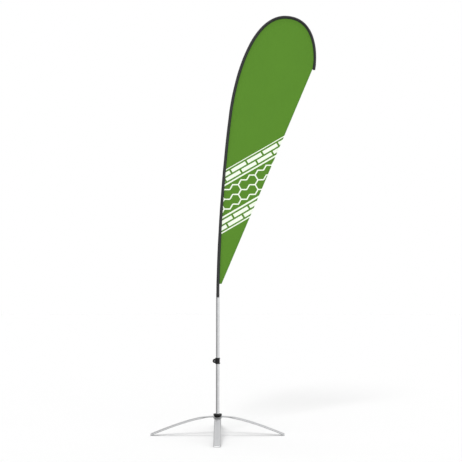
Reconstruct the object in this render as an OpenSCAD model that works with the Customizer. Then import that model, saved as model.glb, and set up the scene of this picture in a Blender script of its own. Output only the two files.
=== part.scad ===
// Teardrop flag: a folding cross base, a free-turning socket, a tubular lower pole,
// a bent sectional upper pole and a flag cut on the slant from top to foot.
// Origin: on the floor, on the axis of the pole. The flag hangs towards +X.

/* [Base] */
// Reach of each leg from the pole axis to the end of its sole
leg_reach = 418.8; // [380:0.1:480]
// Width of a leg's flat tube
leg_w = 40; // [36:1:50]
// Thickness of a leg's flat tube
leg_t = 10; // [8:0.5:12]
// Wall of a leg's flat tube
leg_wall = 2; // [1.5:0.1:2.5]
// Width of a crossbar where it is pressed flat at the hub
hub_bar_w = 36; // [32:1:36]
// Thickness of a crossbar where it is pressed flat at the hub
hub_bar_t = 6; // [5:0.5:6]
// Height of the lower crossbar's seat above the floor
hub_z = 99; // [90:1:120]
// Slope of a leg where it meets the floor, in degrees
foot_slope = 22; // [17:0.5:24]

/* [Turning socket] */
// Radius of the spindle through the hub
spindle_r = 5; // [4.5:0.1:5.5]
// Widest radius of the bowl-shaped collar
collar_r = 26.8; // [24:0.1:28]
// Height of the collar
collar_h = 19.8; // [18:0.1:24]
// Length of the spigot inside the pole
spigot_len = 100; // [60:5:140]

/* [Pole] */
// Outer radius of the lower pole tube
tube_r = 11; // [10.5:0.5:12]
// Wall of the lower pole tube
tube_wall = 1.5; // [1.2:0.1:1.6]
// Height of the top of the lower pole tube above the floor
tube_top = 859; // [800:1:900]
// How deep the upper pole stands in the lower tube
rod_stub = 100; // [80:5:120]
// Radius of the upper pole at its foot
rod_r_foot = 8; // [7:0.1:8]
// Radius of the upper pole at its tip
rod_r_tip = 3.5; // [3:0.1:4]

/* [Flag] */
// Outer radius of the pole sleeve at its mouth
sleeve_r_foot = 10; // [9.6:0.1:11]
// Outer radius of the pole sleeve at its closed end
sleeve_r_end = 9; // [8:0.1:10]
// Thickness of the sleeve fabric
sleeve_wall = 0.9; // [0.6:0.1:1.2]
// Thickness of the flag cloth, thickened so that it makes a solid
cloth_t = 1.2; // [0.8:0.1:2]
// Thickness of the folded hem
hem_t = 2; // [1.4:0.1:3]
// Width of the folded hem
hem_w = 10; // [8:1:20]
// Height of the short level cut at the flag's foot
foot_cut_z = 945; // [925:1:975]
// Distance from the pole axis to the flag's foot corner
foot_corner_x = 24; // [20:0.5:40]

/* [Tension clip] */
// Height of the clip's middle above the floor
clip_z = 461; // [200:1:800]
// Height of the clip
clip_h = 38; // [30:1:50]
// Radius of the clip's ear
ear_r = 12.8; // [10:0.1:16]
// Distance from the pole axis to the middle of the ear
ear_x = 19.6; // [18:0.1:26]

/* [Hidden] */
$fn = 64;

big = 5000;
fine = 0.05;
running = 0.05;

// --- heights of the hub stack, from the floor up
washer_t = 1;
seat_r = 24;
dish_r = 31;
dish_rise = hub_bar_t + washer_t;
washer_z = hub_z + hub_bar_t;
upper_z = washer_z + washer_t;
flange_z = upper_z + hub_bar_t;
flange_r = 10;
flange_t = 3;
bearing_z = flange_z + flange_t;
bearing_h = 8;
bearing_r = 13;
bearing_pitch = 9.5;
ball_r = 2.3;
ball_count = 8;
clip_t = 1;
neck_r = 4;
spring_t = 2.2;
nut_t = 8;
nut_flats = 17;
spindle_tail = 3;

// --- collar and spigot
collar_z = flange_z + 1.2;
collar_foot_r = 16;
shoulder_z = bearing_z + bearing_h + 3;
spigot_z = shoulder_z - 2.4;
spigot_top = shoulder_z + spigot_len;
tube_bore = tube_r - tube_wall;
spigot_r = tube_bore - running;
spigot_bore = 6;
bush_h = 16;
spindle_top = spigot_top - 4;

// --- upper pole and sleeve: a straight stub, then three curves that join smoothly
path_foot = [0, tube_top + 1];
stub_foot = [0, tube_top - rod_stub];
lean = 7.3;
lean_point = [80, 2046];
crown_point = [439, 2695];
end_point = [625, 2343];
end_lean = 191;
function heading(a) = [sin(a), cos(a)];
CURVES = [
    [path_foot, path_foot + 295 * heading(0), lean_point - 380 * heading(lean), lean_point],
    [lean_point, lean_point + 268 * heading(lean), crown_point - [210, 0], crown_point],
    [crown_point, crown_point + [199, 0], end_point - 109 * heading(end_lean), end_point]
];
steps = 16;
last = len(CURVES) * steps;
lower_joint = 13;
upper_joint = 30;

function bez(p, t) =
    pow(1 - t, 3) * p[0] + 3 * pow(1 - t, 2) * t * p[1] + 3 * (1 - t) * t * t * p[2] + pow(t, 3) * p[3];
function bez_slope(p, t) =
    pow(1 - t, 2) * (p[1] - p[0]) + 2 * (1 - t) * t * (p[2] - p[1]) + t * t * (p[3] - p[2]);
function unit(v) = v / norm(v);
// Station i of the upper pole: its point and its direction
function station(i) =
    let (c = min(floor(i / steps), len(CURVES) - 1), t = i / steps - c)
    [bez(CURVES[c], t), unit(bez_slope(CURVES[c], t))];
function inward(d) = [d[1], -d[0]];
function stations(a, b) = [for (i = [a:b]) station(i)];
function lerp(a, b, t) = a + (b - a) * t;
function rod_radius(i) = lerp(rod_r_foot, rod_r_tip, max(i, 0) / last);
function sleeve_radius(i) = lerp(sleeve_r_foot, sleeve_r_end, i / last);

// Sides of every swept tube
sides = 16;
// One ring of a sweep: radius r about a station, in the row's X and Z with Y across
function ring(s, r) = [
    for (k = [0:sides - 1])
        let (a = 360 * k / sides, p = s[0] + r * cos(a) * inward(s[1]))
        [p[0], r * sin(a), p[1]]
];
function flat(lists) = [for (l = lists) for (v = l) v];
function skin(first, rings, out) = [
    for (j = [0:rings - 2])
        for (k = [0:sides - 1])
            let (a = first + j * sides + k, b = first + j * sides + (k + 1) % sides)
            each out ? [[a, a + sides, b], [b, a + sides, b + sides]]
                     : [[a, b, a + sides], [b, b + sides, a + sides]]
];

// A solid round bar along stations s with one radius for each
module sweep_bar(s, r) {
    n = len(s);
    points = flat([for (j = [0:n - 1]) ring(s[j], r[j])]);
    foot = [for (k = [0:sides - 1]) k];
    head = [for (k = [0:sides - 1]) n * sides - 1 - k];
    polyhedron(points, concat(skin(0, n, true), [foot, head]), convexity = 6);
}

// A round tube along stations s with an outer and an inner radius for each
module sweep_tube(s, ro, ri) {
    n = len(s);
    outer = flat([for (j = [0:n - 1]) ring(s[j], ro[j])]);
    inner = flat([for (j = [0:n - 1]) ring(s[j], ri[j])]);
    m = n * sides;
    ends = [
        for (k = [0:sides - 1])
            let (q = (k + 1) % sides, t = m - sides)
            each [[k, q, m + k], [q, m + q, m + k], [t + k, m + t + k, t + q], [t + q, m + t + k, m + t + q]]
    ];
    polyhedron(concat(outer, inner), concat(skin(0, n, true), skin(m, n, false), ends), convexity = 8);
}

// --- crossbars
leg_end = leg_reach - 2.8;
plug_len = 13;
foot_dir = [cos(foot_slope), -sin(foot_slope)];
foot_up = [sin(foot_slope), cos(foot_slope)];
foot_mid = [leg_end, leg_t / 2 * cos(foot_slope) + 1.6];
// How far the arch keeps level at the hub, and how far it keeps straight at the foot
hub_pull = 60;
foot_pull = 220;
thick_from = 62;
thick_to = 115;
arch_steps = 20;
hollow_step = 6;
function arch_curve(z) =
    let (p = foot_mid - (plug_len + 1) * foot_dir)
    [[dish_r, z], [dish_r + hub_pull, z], p - foot_pull * foot_dir, p];
function arch_t(r) = lerp(hub_bar_t, leg_t, min(1, max(0, (r - thick_from) / (thick_to - thick_from))));
// One edge of a leg in side view, from step a on: share is +1 above the middle line and -1 below it,
// cut is how far inside the surface it runs, and past is how far it runs on beyond the leg's end
function arch_edge(z, share, a, cut, past) = concat(
    [
        for (i = [a:arch_steps])
            let (p = arch_curve(z), t = i / arch_steps, q = bez(p, t), d = unit(bez_slope(p, t)))
            q + share * (arch_t(q[0]) / 2 - cut) * [-d[1], d[0]]
    ],
    [foot_mid + past * foot_dir + share * (leg_t / 2 - cut) * foot_up]
);
function reversed(v) = [for (i = [len(v) - 1:-1:0]) v[i]];
function arch_outline(z, a, cut, past) =
    concat(arch_edge(z, 1, a, cut, past), reversed(arch_edge(z, -1, a, cut, past)));
module upright(w) {
    translate([0, w / 2, 0]) rotate([90, 0, 0]) linear_extrude(w) children();
}

// A hollow leg towards +X, with its middle line at height z at the hub
module leg(z) {
    side = leg_w / 2;
    slim = hub_bar_w / 2;
    difference() {
        upright(leg_w) polygon(arch_outline(z, 0, 0, 0));
        upright(leg_w - 2 * leg_wall) polygon(arch_outline(z, hollow_step, leg_wall, 5));
        for (m = [0, 1]) mirror([0, m, 0]) linear_extrude(2 * z)
            polygon([[0, slim], [thick_from, slim], [thick_to, side + 0.01], [thick_to, side + 5], [0, side + 5]]);
    }
}

// A crossbar along X: a round seat, a ramp up to each arm and two legs
module crossbar(z, hole) {
    difference() {
        union() {
            translate([0, 0, z]) cylinder(r = seat_r, h = hub_bar_t);
            intersection() {
                translate([0, 0, z]) rotate_extrude() polygon([
                    [seat_r - 1, 0], [dish_r, dish_rise], [dish_r + 8, dish_rise],
                    [dish_r + 8, dish_rise + hub_bar_t], [dish_r, dish_rise + hub_bar_t], [seat_r - 1, hub_bar_t]
                ]);
                translate([-dish_r - 1, -hub_bar_w / 2, 0]) cube([2 * dish_r + 2, hub_bar_w, big]);
            }
            for (side = [0, 180]) rotate([0, 0, side]) leg(z + dish_rise + hub_bar_t / 2);
        }
        translate([0, 0, z - 1]) cylinder(r = hole, h = hub_bar_t + 2);
    }
}

module lower_crossbar() {
    color("silver") rotate([0, 0, 90]) crossbar(hub_z, spindle_r + 0.02);
}

module upper_crossbar() {
    color("silver") crossbar(upper_z, spindle_r + running);
}

// A plastic end piece: a plug inside the tube, a head flush in its mouth and a flat sole below it
module foot_cap(turn) {
    plug_w = leg_w - 2 * leg_wall;
    plug_t = leg_t - 2 * leg_wall;
    corner = foot_mid + (leg_reach - leg_end) * foot_dir;
    color("white") rotate([0, 0, turn]) {
        difference() {
            upright(plug_w) polygon([
                foot_mid + plug_t / 2 * foot_up,
                corner + plug_t / 2 * foot_up,
                [leg_reach, 0],
                [leg_end - 10, 0],
                [leg_end - 10, 6]
            ]);
            translate([foot_mid[0], 0, foot_mid[1]]) rotate([0, foot_slope, 0])
                translate([-big, -leg_w / 2 - 0.05, -leg_t / 2 - 0.05]) cube([big, leg_w + 0.1, leg_t + 0.1]);
        }
        translate([foot_mid[0], 0, foot_mid[1]]) rotate([0, foot_slope, 0])
            translate([1 - plug_len, -plug_w / 2 + 0.1, -plug_t / 2 + 0.1])
                cube([plug_len, plug_w - 0.2, plug_t - 0.2]);
    }
}

module foot_cap_right() { foot_cap(0); }
module foot_cap_back() { foot_cap(90); }
module foot_cap_left() { foot_cap(180); }
module foot_cap_front() { foot_cap(270); }

// --- hub hardware
module ring_plate(z, h, ro, ri) {
    translate([0, 0, z]) difference() {
        cylinder(r = ro, h = h);
        translate([0, 0, -1]) cylinder(r = ri, h = h + 2);
    }
}

module bar_washer() {
    color("black") ring_plate(washer_z, washer_t, seat_r - 2, spindle_r + fine);
}

module spindle() {
    low = hub_z - spring_t - nut_t - spindle_tail;
    groove_z = bearing_z + bearing_h + 0.1;
    color("silver") rotate_extrude() polygon([
        [0, low], [spindle_r - 1, low], [spindle_r, low + 1],
        [spindle_r, flange_z], [flange_r, flange_z], [flange_r, bearing_z], [spindle_r, bearing_z],
        [spindle_r, groove_z], [spindle_r - 0.8, groove_z],
        [spindle_r - 0.8, groove_z + clip_t + 0.1], [neck_r, groove_z + clip_t + 0.9],
        [neck_r, spindle_top - 1], [neck_r - 1, spindle_top], [0, spindle_top]
    ]);
}

module spring_washer() {
    color("dimgray") difference() {
        ring_plate(hub_z - spring_t, spring_t, spindle_r + 3.6, spindle_r + 0.1);
        translate([0, -0.8, hub_z - spring_t - 1]) cube([20, 1.6, spring_t + 2]);
    }
}

module spindle_nut() {
    color("dimgray") translate([0, 0, hub_z - spring_t - nut_t]) difference() {
        cylinder(d = nut_flats / cos(30), h = nut_t, $fn = 6);
        translate([0, 0, -1]) cylinder(r = spindle_r + 0.02, h = nut_t + 2);
    }
}

module spindle_clip() {
    color("dimgray") difference() {
        ring_plate(bearing_z + bearing_h + 0.1, clip_t, 7, spindle_r - 0.75);
        translate([0, -1.5, bearing_z + bearing_h - 1]) cube([20, 3, 4]);
    }
}

module race_groove() {
    translate([0, 0, bearing_z + bearing_h / 2]) rotate_extrude()
        translate([bearing_pitch, 0]) circle(r = ball_r + 0.06);
}

module bearing_inner() {
    color("silver") difference() {
        ring_plate(bearing_z, bearing_h, bearing_pitch - 1.1, spindle_r + 0.01);
        race_groove();
    }
}

module bearing_outer() {
    color("silver") difference() {
        ring_plate(bearing_z + 0.05, bearing_h, bearing_r, bearing_pitch + 1.1);
        race_groove();
    }
}

module bearing_balls() {
    color("gainsboro") for (k = [0:ball_count - 1])
        rotate([0, 0, 360 * k / ball_count]) translate([bearing_pitch, 0, bearing_z + bearing_h / 2])
            sphere(r = ball_r);
}

// --- collar and what is inside it
module collar() {
    top = collar_z + collar_h;
    rim = 2;
    bowl = [
        for (a = [0:10:90])
            [lerp(collar_foot_r, collar_r, sin(a)), top - rim - (collar_h - rim) * cos(a)]
    ];
    color("black") difference() {
        rotate_extrude() polygon(concat(
            [[bearing_r + 0.02, collar_z]], bowl, [[collar_r, top - 1], [collar_r - 1, top]],
            [
                [tube_r + 0.35, top], [tube_r + 0.35, shoulder_z],
                [bearing_r + 0.02, shoulder_z]
            ]
        ));
        ring_plate(bearing_z - 1.15, 1.1, bearing_r + 1, bearing_r - 1);
    }
}

module collar_clip() {
    color("dimgray") difference() {
        ring_plate(bearing_z - 1.1, clip_t, bearing_r + 0.9, flange_r + 1);
        translate([0, -2, bearing_z - 2]) cube([20, 4, 3]);
    }
}

module spigot() {
    color("silver") rotate_extrude() polygon([
        [spigot_bore, spigot_z + 1.4], [7.6, spigot_z + 1.4], [7.6, spigot_z],
        [bearing_r - 0.05, spigot_z], [bearing_r - 0.05, shoulder_z], [spigot_r, shoulder_z],
        [spigot_r, spigot_top - 2], [spigot_r - 1.5, spigot_top], [spigot_bore, spigot_top]
    ]);
}

module spigot_bush() {
    color("ivory") ring_plate(spindle_top - bush_h - 2, bush_h, spigot_bore - 0.01, neck_r + running);
}

// --- pole
module pole_tube() {
    color("silver") ring_plate(shoulder_z + fine, tube_top - shoulder_z - fine, tube_r, tube_bore);
}

// A plug inside the top of the tube, that the upper pole stands in
module tube_bush() {
    wall_z = stub_foot[1] - 4;
    color("black") translate([0, 0, wall_z]) difference() {
        cylinder(r = tube_bore - 0.01, h = tube_top - wall_z - 0.5);
        translate([0, 0, 4 - fine]) cylinder(r = rod_r_foot + running, h = rod_stub + 10);
    }
}

function bar_radii(a, b, more) = [for (i = [a:b]) rod_radius(i) + more];

module rod_lower() {
    path = concat([[stub_foot, heading(0)]], stations(0, lower_joint));
    color("dimgray") sweep_bar(path, concat([rod_r_foot], bar_radii(0, lower_joint, 0)));
}

module rod_middle() {
    color("dimgray") sweep_bar(stations(lower_joint, upper_joint), bar_radii(lower_joint, upper_joint, 0));
}

module rod_tip() {
    color("dimgray") sweep_bar(stations(upper_joint, last - 1), bar_radii(upper_joint, last - 1, 0));
}

module ferrule(i) {
    color("silver") sweep_tube(stations(i - 1, i + 1), bar_radii(i - 1, i + 1, 1), bar_radii(i - 1, i + 1, 0.05));
}

module ferrule_lower() { ferrule(lower_joint); }
module ferrule_upper() { ferrule(upper_joint); }

module tip_cap() {
    s = station(last - 1);
    dir = unit(station(last)[0] - s[0]);
    color("black") translate([s[0][0], 0, s[0][1]]) rotate([0, atan2(dir[0], dir[1]), 0])
        cylinder(r = rod_r_tip + 2.4, h = 12);
}

// --- fabric
module pole_sleeve() {
    outer = [for (i = [0:last]) sleeve_radius(i)];
    inner = [for (i = [0:last]) sleeve_radius(i) - sleeve_wall];
    color("#303034") sweep_tube(stations(0, last), outer, inner);
}

module sleeve_cuff() {
    r = sleeve_r_foot + fine;
    color("#28282c") ring_plate(path_foot[1], 25, r + 0.9, r + 0.1);
}

// A closed cup over the sleeve's end: up its inside, then back down its outside
module sleeve_end() {
    s = stations(last - 2, last);
    tip = [s[2][0] + 3 * s[2][1], s[2][1]];
    r = [for (i = [last - 2:last]) sleeve_radius(i) + fine];
    color("#28282c") sweep_bar(
        concat(reversed(s), s, [tip]),
        concat(reversed(r), [for (v = r) v + 0.8], [r[2] - 1.5])
    );
}

// The flag's outline: along the inside of the sleeve, then straight back to the foot corner
function edge_gap(i) = sleeve_radius(i) + (i >= last - 2 ? 1 : 0) + fine;
EDGE = [for (i = [0:last]) station(i)[0] + edge_gap(i) * inward(station(i)[1])];
foot_corner = [foot_corner_x, foot_cut_z];
slant = unit(EDGE[last] - foot_corner);
slant_in = [-slant[1], slant[0]];
module flag_outline() {
    intersection() {
        polygon(concat(EDGE, [foot_corner]));
        translate([-10, foot_cut_z]) square(big);
    }
}
module hem_strip() {
    overshoot = 3;
    foot = foot_corner - 100 * slant;
    head = foot_corner + big * slant;
    polygon([
        foot - overshoot * slant_in, head - overshoot * slant_in,
        head + hem_w * slant_in, foot + hem_w * slant_in
    ]);
}

module flag_cloth() {
    color("#4f9230") upright(cloth_t) difference() {
        flag_outline();
        hem_strip();
    }
}

module flag_hem() {
    color("#478629") upright(hem_t) intersection() {
        flag_outline();
        hem_strip();
    }
}

// --- tension clip
clip_flange_r = 15.2;
clip_flange = 4;
clip_waist_r = 13.4;
clip_gap = 2.4;
ear_w = 18;
screw_r = 2.5;
module clip_collar() {
    half = clip_h / 2;
    color("#262628") translate([0, 0, clip_z]) difference() {
        union() {
            rotate_extrude() polygon([
                [tube_r - 1, -half], [clip_flange_r, -half], [clip_flange_r, clip_flange - half],
                [clip_waist_r, clip_flange + 5 - half], [clip_waist_r, half - clip_flange - 5],
                [clip_flange_r, half - clip_flange], [clip_flange_r, half], [tube_r - 1, half]
            ]);
            translate([-ear_x, ear_w / 2, 0]) rotate([90, 0, 0]) cylinder(r = ear_r, h = ear_w);
            upright(ear_w) polygon([[-ear_x, ear_r], [-9, half], [-9, -half], [-ear_x, -ear_r]]);
        }
        translate([0, 0, -half - 1]) cylinder(r = tube_r + 0.06, h = clip_h + 2);
        translate([-60, -clip_gap / 2, -half - 1]) cube([60, clip_gap, clip_h + 2]);
        translate([-ear_x, ear_w, 0]) rotate([90, 0, 0]) cylinder(r = screw_r + running, h = 2 * ear_w);
        translate([-ear_x, ear_w, 0]) rotate([90, 0, 0]) cylinder(r = 4.8, h = ear_w - 6, $fn = 6);
    }
}

// A pan-head screw along Y, with its head at the front and a hexagon socket in it
module clip_screw() {
    head_r = 4.6;
    head_h = 2.8;
    color("gray") translate([-ear_x, -ear_w / 2, clip_z]) rotate([-90, 0, 0]) difference() {
        union() {
            translate([0, 0, -head_h]) cylinder(r = head_r, h = head_h);
            cylinder(r = screw_r, h = ear_w);
        }
        translate([0, 0, -head_h - 1]) cylinder(r = 1.6, h = 2.6, $fn = 6);
    }
}

module clip_nut() {
    color("gray") translate([-ear_x, ear_w / 2 - 2.9, clip_z]) rotate([-90, 0, 0]) difference() {
        cylinder(r = 4.7, h = 2.8, $fn = 6);
        translate([0, 0, -1]) cylinder(r = screw_r + running, h = 6);
    }
}

lower_crossbar();
upper_crossbar();
foot_cap_front();
foot_cap_back();
foot_cap_left();
foot_cap_right();
bar_washer();
spindle();
spring_washer();
spindle_nut();
spindle_clip();
bearing_inner();
bearing_balls();
bearing_outer();
collar();
collar_clip();
spigot();
spigot_bush();
pole_tube();
tube_bush();
rod_lower();
ferrule_lower();
rod_middle();
ferrule_upper();
rod_tip();
tip_cap();
pole_sleeve();
sleeve_cuff();
sleeve_end();
flag_cloth();
flag_hem();
clip_collar();
clip_screw();
clip_nut();
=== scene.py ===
"""Surfaces and finishes of a teardrop flag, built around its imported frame.

The flag stands on a folding cross base: two arched flat tubes, a bearing socket, a straight
lower pole with a sliding clip, and a bent rod in a fabric sleeve that carries the cloth.
Lengths are in metres, with +Z up and the flag towards +X.
"""

from __future__ import annotations

import logging
import math
from dataclasses import dataclass, field
from enum import Enum
from typing import Sequence, Union

import bmesh
import bpy
import numpy as np
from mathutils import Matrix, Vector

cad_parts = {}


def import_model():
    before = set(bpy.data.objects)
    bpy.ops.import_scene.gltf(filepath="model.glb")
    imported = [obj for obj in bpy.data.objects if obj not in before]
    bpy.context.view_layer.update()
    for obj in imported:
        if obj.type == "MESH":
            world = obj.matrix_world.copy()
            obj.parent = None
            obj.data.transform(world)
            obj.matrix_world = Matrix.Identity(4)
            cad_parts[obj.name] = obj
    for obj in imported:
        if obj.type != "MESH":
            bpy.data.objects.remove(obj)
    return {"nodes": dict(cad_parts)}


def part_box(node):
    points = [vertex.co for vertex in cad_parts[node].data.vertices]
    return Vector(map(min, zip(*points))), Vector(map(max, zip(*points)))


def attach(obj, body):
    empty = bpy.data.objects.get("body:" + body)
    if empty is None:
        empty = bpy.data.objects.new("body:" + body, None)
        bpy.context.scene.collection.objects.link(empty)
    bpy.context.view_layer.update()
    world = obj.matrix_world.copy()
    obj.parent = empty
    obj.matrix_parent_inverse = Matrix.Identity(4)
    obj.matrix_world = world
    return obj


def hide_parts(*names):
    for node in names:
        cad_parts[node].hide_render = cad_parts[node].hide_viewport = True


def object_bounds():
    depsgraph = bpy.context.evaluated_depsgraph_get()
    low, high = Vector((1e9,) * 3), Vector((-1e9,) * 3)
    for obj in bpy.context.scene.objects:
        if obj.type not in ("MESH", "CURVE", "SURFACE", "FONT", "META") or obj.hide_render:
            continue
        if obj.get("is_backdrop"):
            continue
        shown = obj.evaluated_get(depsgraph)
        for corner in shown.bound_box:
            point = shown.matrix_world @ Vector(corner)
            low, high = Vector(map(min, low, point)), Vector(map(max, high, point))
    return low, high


LOG = logging.getLogger("teardrop_flag")
MM = 0.001
STITCH_PITCH = 4.2 * MM
STITCH_LENGTH = 3.0 * MM
Number = Union[float, int]
Colour = tuple[float, float, float]


class Slot(Enum):
    """The record's material slots."""

    BAR = "painted_bar"
    CAP = "white_plastic"
    MOULDING = "black_plastic"
    STEEL = "bright_steel"
    NYLON = "pale_nylon"
    TUBE = "aluminium_tube"
    ROD = "glass_fibre"
    RUBBER = "soft_rubber"
    SLEEVE = "sleeve_fabric"
    CLOTH = "flag_fabric"


class Body(Enum):
    """The moving bodies of the frame."""

    BASE = "base"
    CROSS_ARM = "cross_arm"
    SOCKET = "socket"
    LOWER_POLE = "lower_pole"
    FLAG = "flag_and_rods"
    CLIP = "tension_clip"
    BOLT = "clip_bolt"


class Coords(Enum):
    """Where a finish reads its place from."""

    OBJECT = "Object"
    UV = "UV"


# ---------------------------------------------------------------- shader maths


class Sock:
    """A shader output that takes part in arithmetic."""

    def __init__(self, graph: "Graph", socket: bpy.types.NodeSocket) -> None:
        """Wraps one output.

        Args:
            graph: The graph the output belongs to.
            socket: The output itself.
        """
        self.graph = graph
        self.socket = socket

    def __add__(self, other: "Value") -> "Sock":
        """Sum."""
        return self.graph.math("ADD", self, other)

    def __radd__(self, other: "Value") -> "Sock":
        """Sum with the number first."""
        return self.graph.math("ADD", other, self)

    def __sub__(self, other: "Value") -> "Sock":
        """Difference."""
        return self.graph.math("SUBTRACT", self, other)

    def __rsub__(self, other: "Value") -> "Sock":
        """Difference with the number first."""
        return self.graph.math("SUBTRACT", other, self)

    def __mul__(self, other: "Value") -> "Sock":
        """Product."""
        return self.graph.math("MULTIPLY", self, other)

    def __rmul__(self, other: "Value") -> "Sock":
        """Product with the number first."""
        return self.graph.math("MULTIPLY", other, self)

    def __truediv__(self, other: "Value") -> "Sock":
        """Quotient."""
        return self.graph.math("DIVIDE", self, other)

    def __mod__(self, other: "Value") -> "Sock":
        """Remainder that is never negative."""
        return self.graph.math("FLOORED_MODULO", self, other)

    def __lt__(self, other: "Value") -> "Sock":
        """1 where this is below the other, else 0."""
        return self.graph.math("LESS_THAN", self, other)

    def __gt__(self, other: "Value") -> "Sock":
        """1 where this is above the other, else 0."""
        return self.graph.math("GREATER_THAN", self, other)

    def __abs__(self) -> "Sock":
        """Size without sign."""
        return self.graph.math("ABSOLUTE", self)

    def sine(self) -> "Sock":
        """Sine of the value in radians."""
        return self.graph.math("SINE", self)

    def larger(self, other: "Value") -> "Sock":
        """The larger of the two."""
        return self.graph.math("MAXIMUM", self, other)

    def smooth(self, low: float, high: float) -> "Sock":
        """A smooth step.

        Args:
            low: Value where the step starts at 0.
            high: Value where it reaches 1.

        Returns:
            0 below low, 1 above high and an S-shaped rise between them.
        """
        return self.graph.node(
            "ShaderNodeMapRange",
            {"interpolation_type": "SMOOTHSTEP"},
            {"Value": self, "From Min": low, "From Max": high},
        )


Value = Union[Sock, float, int]


class Graph:
    """The node graph of one material."""

    def __init__(self, name: str) -> None:
        """Starts a material with an empty graph and a Principled shader.

        Args:
            name: Name of the material.
        """
        self.material = bpy.data.materials.new(name)
        self.material.use_nodes = True
        self.tree = self.material.node_tree
        self.tree.nodes.clear()
        output = self.tree.nodes.new("ShaderNodeOutputMaterial")
        self.shader = self.tree.nodes.new("ShaderNodeBsdfPrincipled")
        self.tree.links.new(self.shader.outputs[0], output.inputs["Surface"])

    def node(
        self,
        kind: str,
        settings: dict[str, object],
        values: dict[Union[str, int], object],
        output: Union[str, int] = 0,
    ) -> Sock:
        """Adds one node.

        Args:
            kind: The node's type.
            settings: Properties of the node, set before its inputs.
            values: A number, tuple or Sock for each named or numbered input.
            output: Name or number of the output to give back.

        Returns:
            The output, ready for arithmetic.
        """
        made = self.tree.nodes.new(kind)
        for key, value in settings.items():
            setattr(made, key, value)
        for key, value in values.items():
            self.put(made.inputs[key], value)
        return Sock(self, made.outputs[output])

    def put(self, target: bpy.types.NodeSocket, value: object) -> None:
        """Links a Sock to an input, or sets the input's own value."""
        if isinstance(value, Sock):
            self.tree.links.new(value.socket, target)
        else:
            target.default_value = value

    def math(self, operation: str, *values: Value) -> Sock:
        """A Math node on one, two or three values."""
        return self.node("ShaderNodeMath", {"operation": operation}, dict(enumerate(values)))

    def coords(self, kind: Coords, layer: str = "") -> Sock:
        """A place to read the pattern at.

        Args:
            kind: Object coordinates or a UV map.
            layer: Name of the UV map.

        Returns:
            The vector.
        """
        if kind is Coords.UV:
            return self.node("ShaderNodeUVMap", {"uv_map": layer}, {})
        return self.node("ShaderNodeTexCoord", {}, {}, kind.value)

    def split(self, vector: Sock) -> tuple[Sock, Sock, Sock]:
        """The three parts of a vector."""
        apart = self.tree.nodes.new("ShaderNodeSeparateXYZ")
        self.put(apart.inputs[0], vector)
        return tuple(Sock(self, o) for o in apart.outputs)

    def stretch(self, vector: Sock, scale: Sequence[float]) -> Sock:
        """The vector with each part multiplied by its own number."""
        values = {0: vector, 1: tuple(scale)}
        return self.node("ShaderNodeVectorMath", {"operation": "MULTIPLY"}, values)

    def noise(self, vector: Sock, scale: float, detail: float = 2.0) -> Sock:
        """Soft random variation between 0 and 1."""
        values = {"Vector": vector, "Scale": scale, "Detail": detail}
        return self.node("ShaderNodeTexNoise", {}, values)

    def blend(self, share: Value, first: object, second: object) -> Sock:
        """A colour that goes from first to second as share goes from 0 to 1."""
        return self.node("ShaderNodeMix", {"data_type": "RGBA"}, {0: share, 6: first, 7: second}, 2)

    def relief(self, height: Sock, depth: float, strength: float = 1.0) -> Sock:
        """A normal that follows a height, whose 0 to 1 is depth metres."""
        values = {"Height": height, "Distance": depth, "Strength": strength}
        return self.node("ShaderNodeBump", {}, values)

    def shade(self, **inputs: object) -> bpy.types.Material:
        """Sets the shader's inputs.

        Args:
            **inputs: Values or Socks, named as the inputs are with _ for a space.

        Returns:
            The finished material.
        """
        for key, value in inputs.items():
            self.put(self.shader.inputs[key.replace("_", " ")], value)
        return self.material


def opaque(colour: Colour) -> tuple[float, float, float, float]:
    """The colour with an alpha of 1."""
    return (*colour, 1.0)


def tinted(colour: Colour, share: float) -> tuple[float, float, float, float]:
    """The colour made lighter or darker by a share of itself."""
    return opaque(tuple(min(1.0, c * share) for c in colour))


# ---------------------------------------------------------------- finishes


@dataclass(frozen=True)
class Finish:
    """A finish: its material slot and its plain colour."""

    slot: Slot
    name: str
    colour: Colour

    def build(self) -> bpy.types.Material:
        """Makes the material; each kind of finish has its own."""
        raise NotImplementedError

    def material(self) -> bpy.types.Material:
        """The material, made once."""
        return bpy.data.materials.get(self.name) or self.build()


@dataclass(frozen=True)
class Metal(Finish):
    """Bare metal with fine lines along one direction.

    Args:
        roughness: Mean roughness.
        grain: How tightly the lines are packed along X, Y and Z, per metre.
    """

    roughness: float = 0.3
    grain: tuple[float, float, float] = (900.0, 900.0, 12.0)

    def build(self) -> bpy.types.Material:
        """Drawn lines in roughness and relief, with faint handling marks in the colour."""
        g = Graph(self.name)
        place = g.coords(Coords.OBJECT)
        lines = g.noise(g.stretch(place, self.grain), 1.0, 3.0)
        marks = g.noise(place, 38.0, 4.0)
        handled = tinted(self.colour, 0.9)
        return g.shade(
            Base_Color=g.blend(marks.smooth(0.35, 0.75), handled, opaque(self.colour)),
            Metallic=1.0,
            Roughness=lines * 0.14 + marks * 0.1 + (self.roughness - 0.12),
            Normal=g.relief(lines, 0.02 * MM, 0.5),
        )


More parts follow.
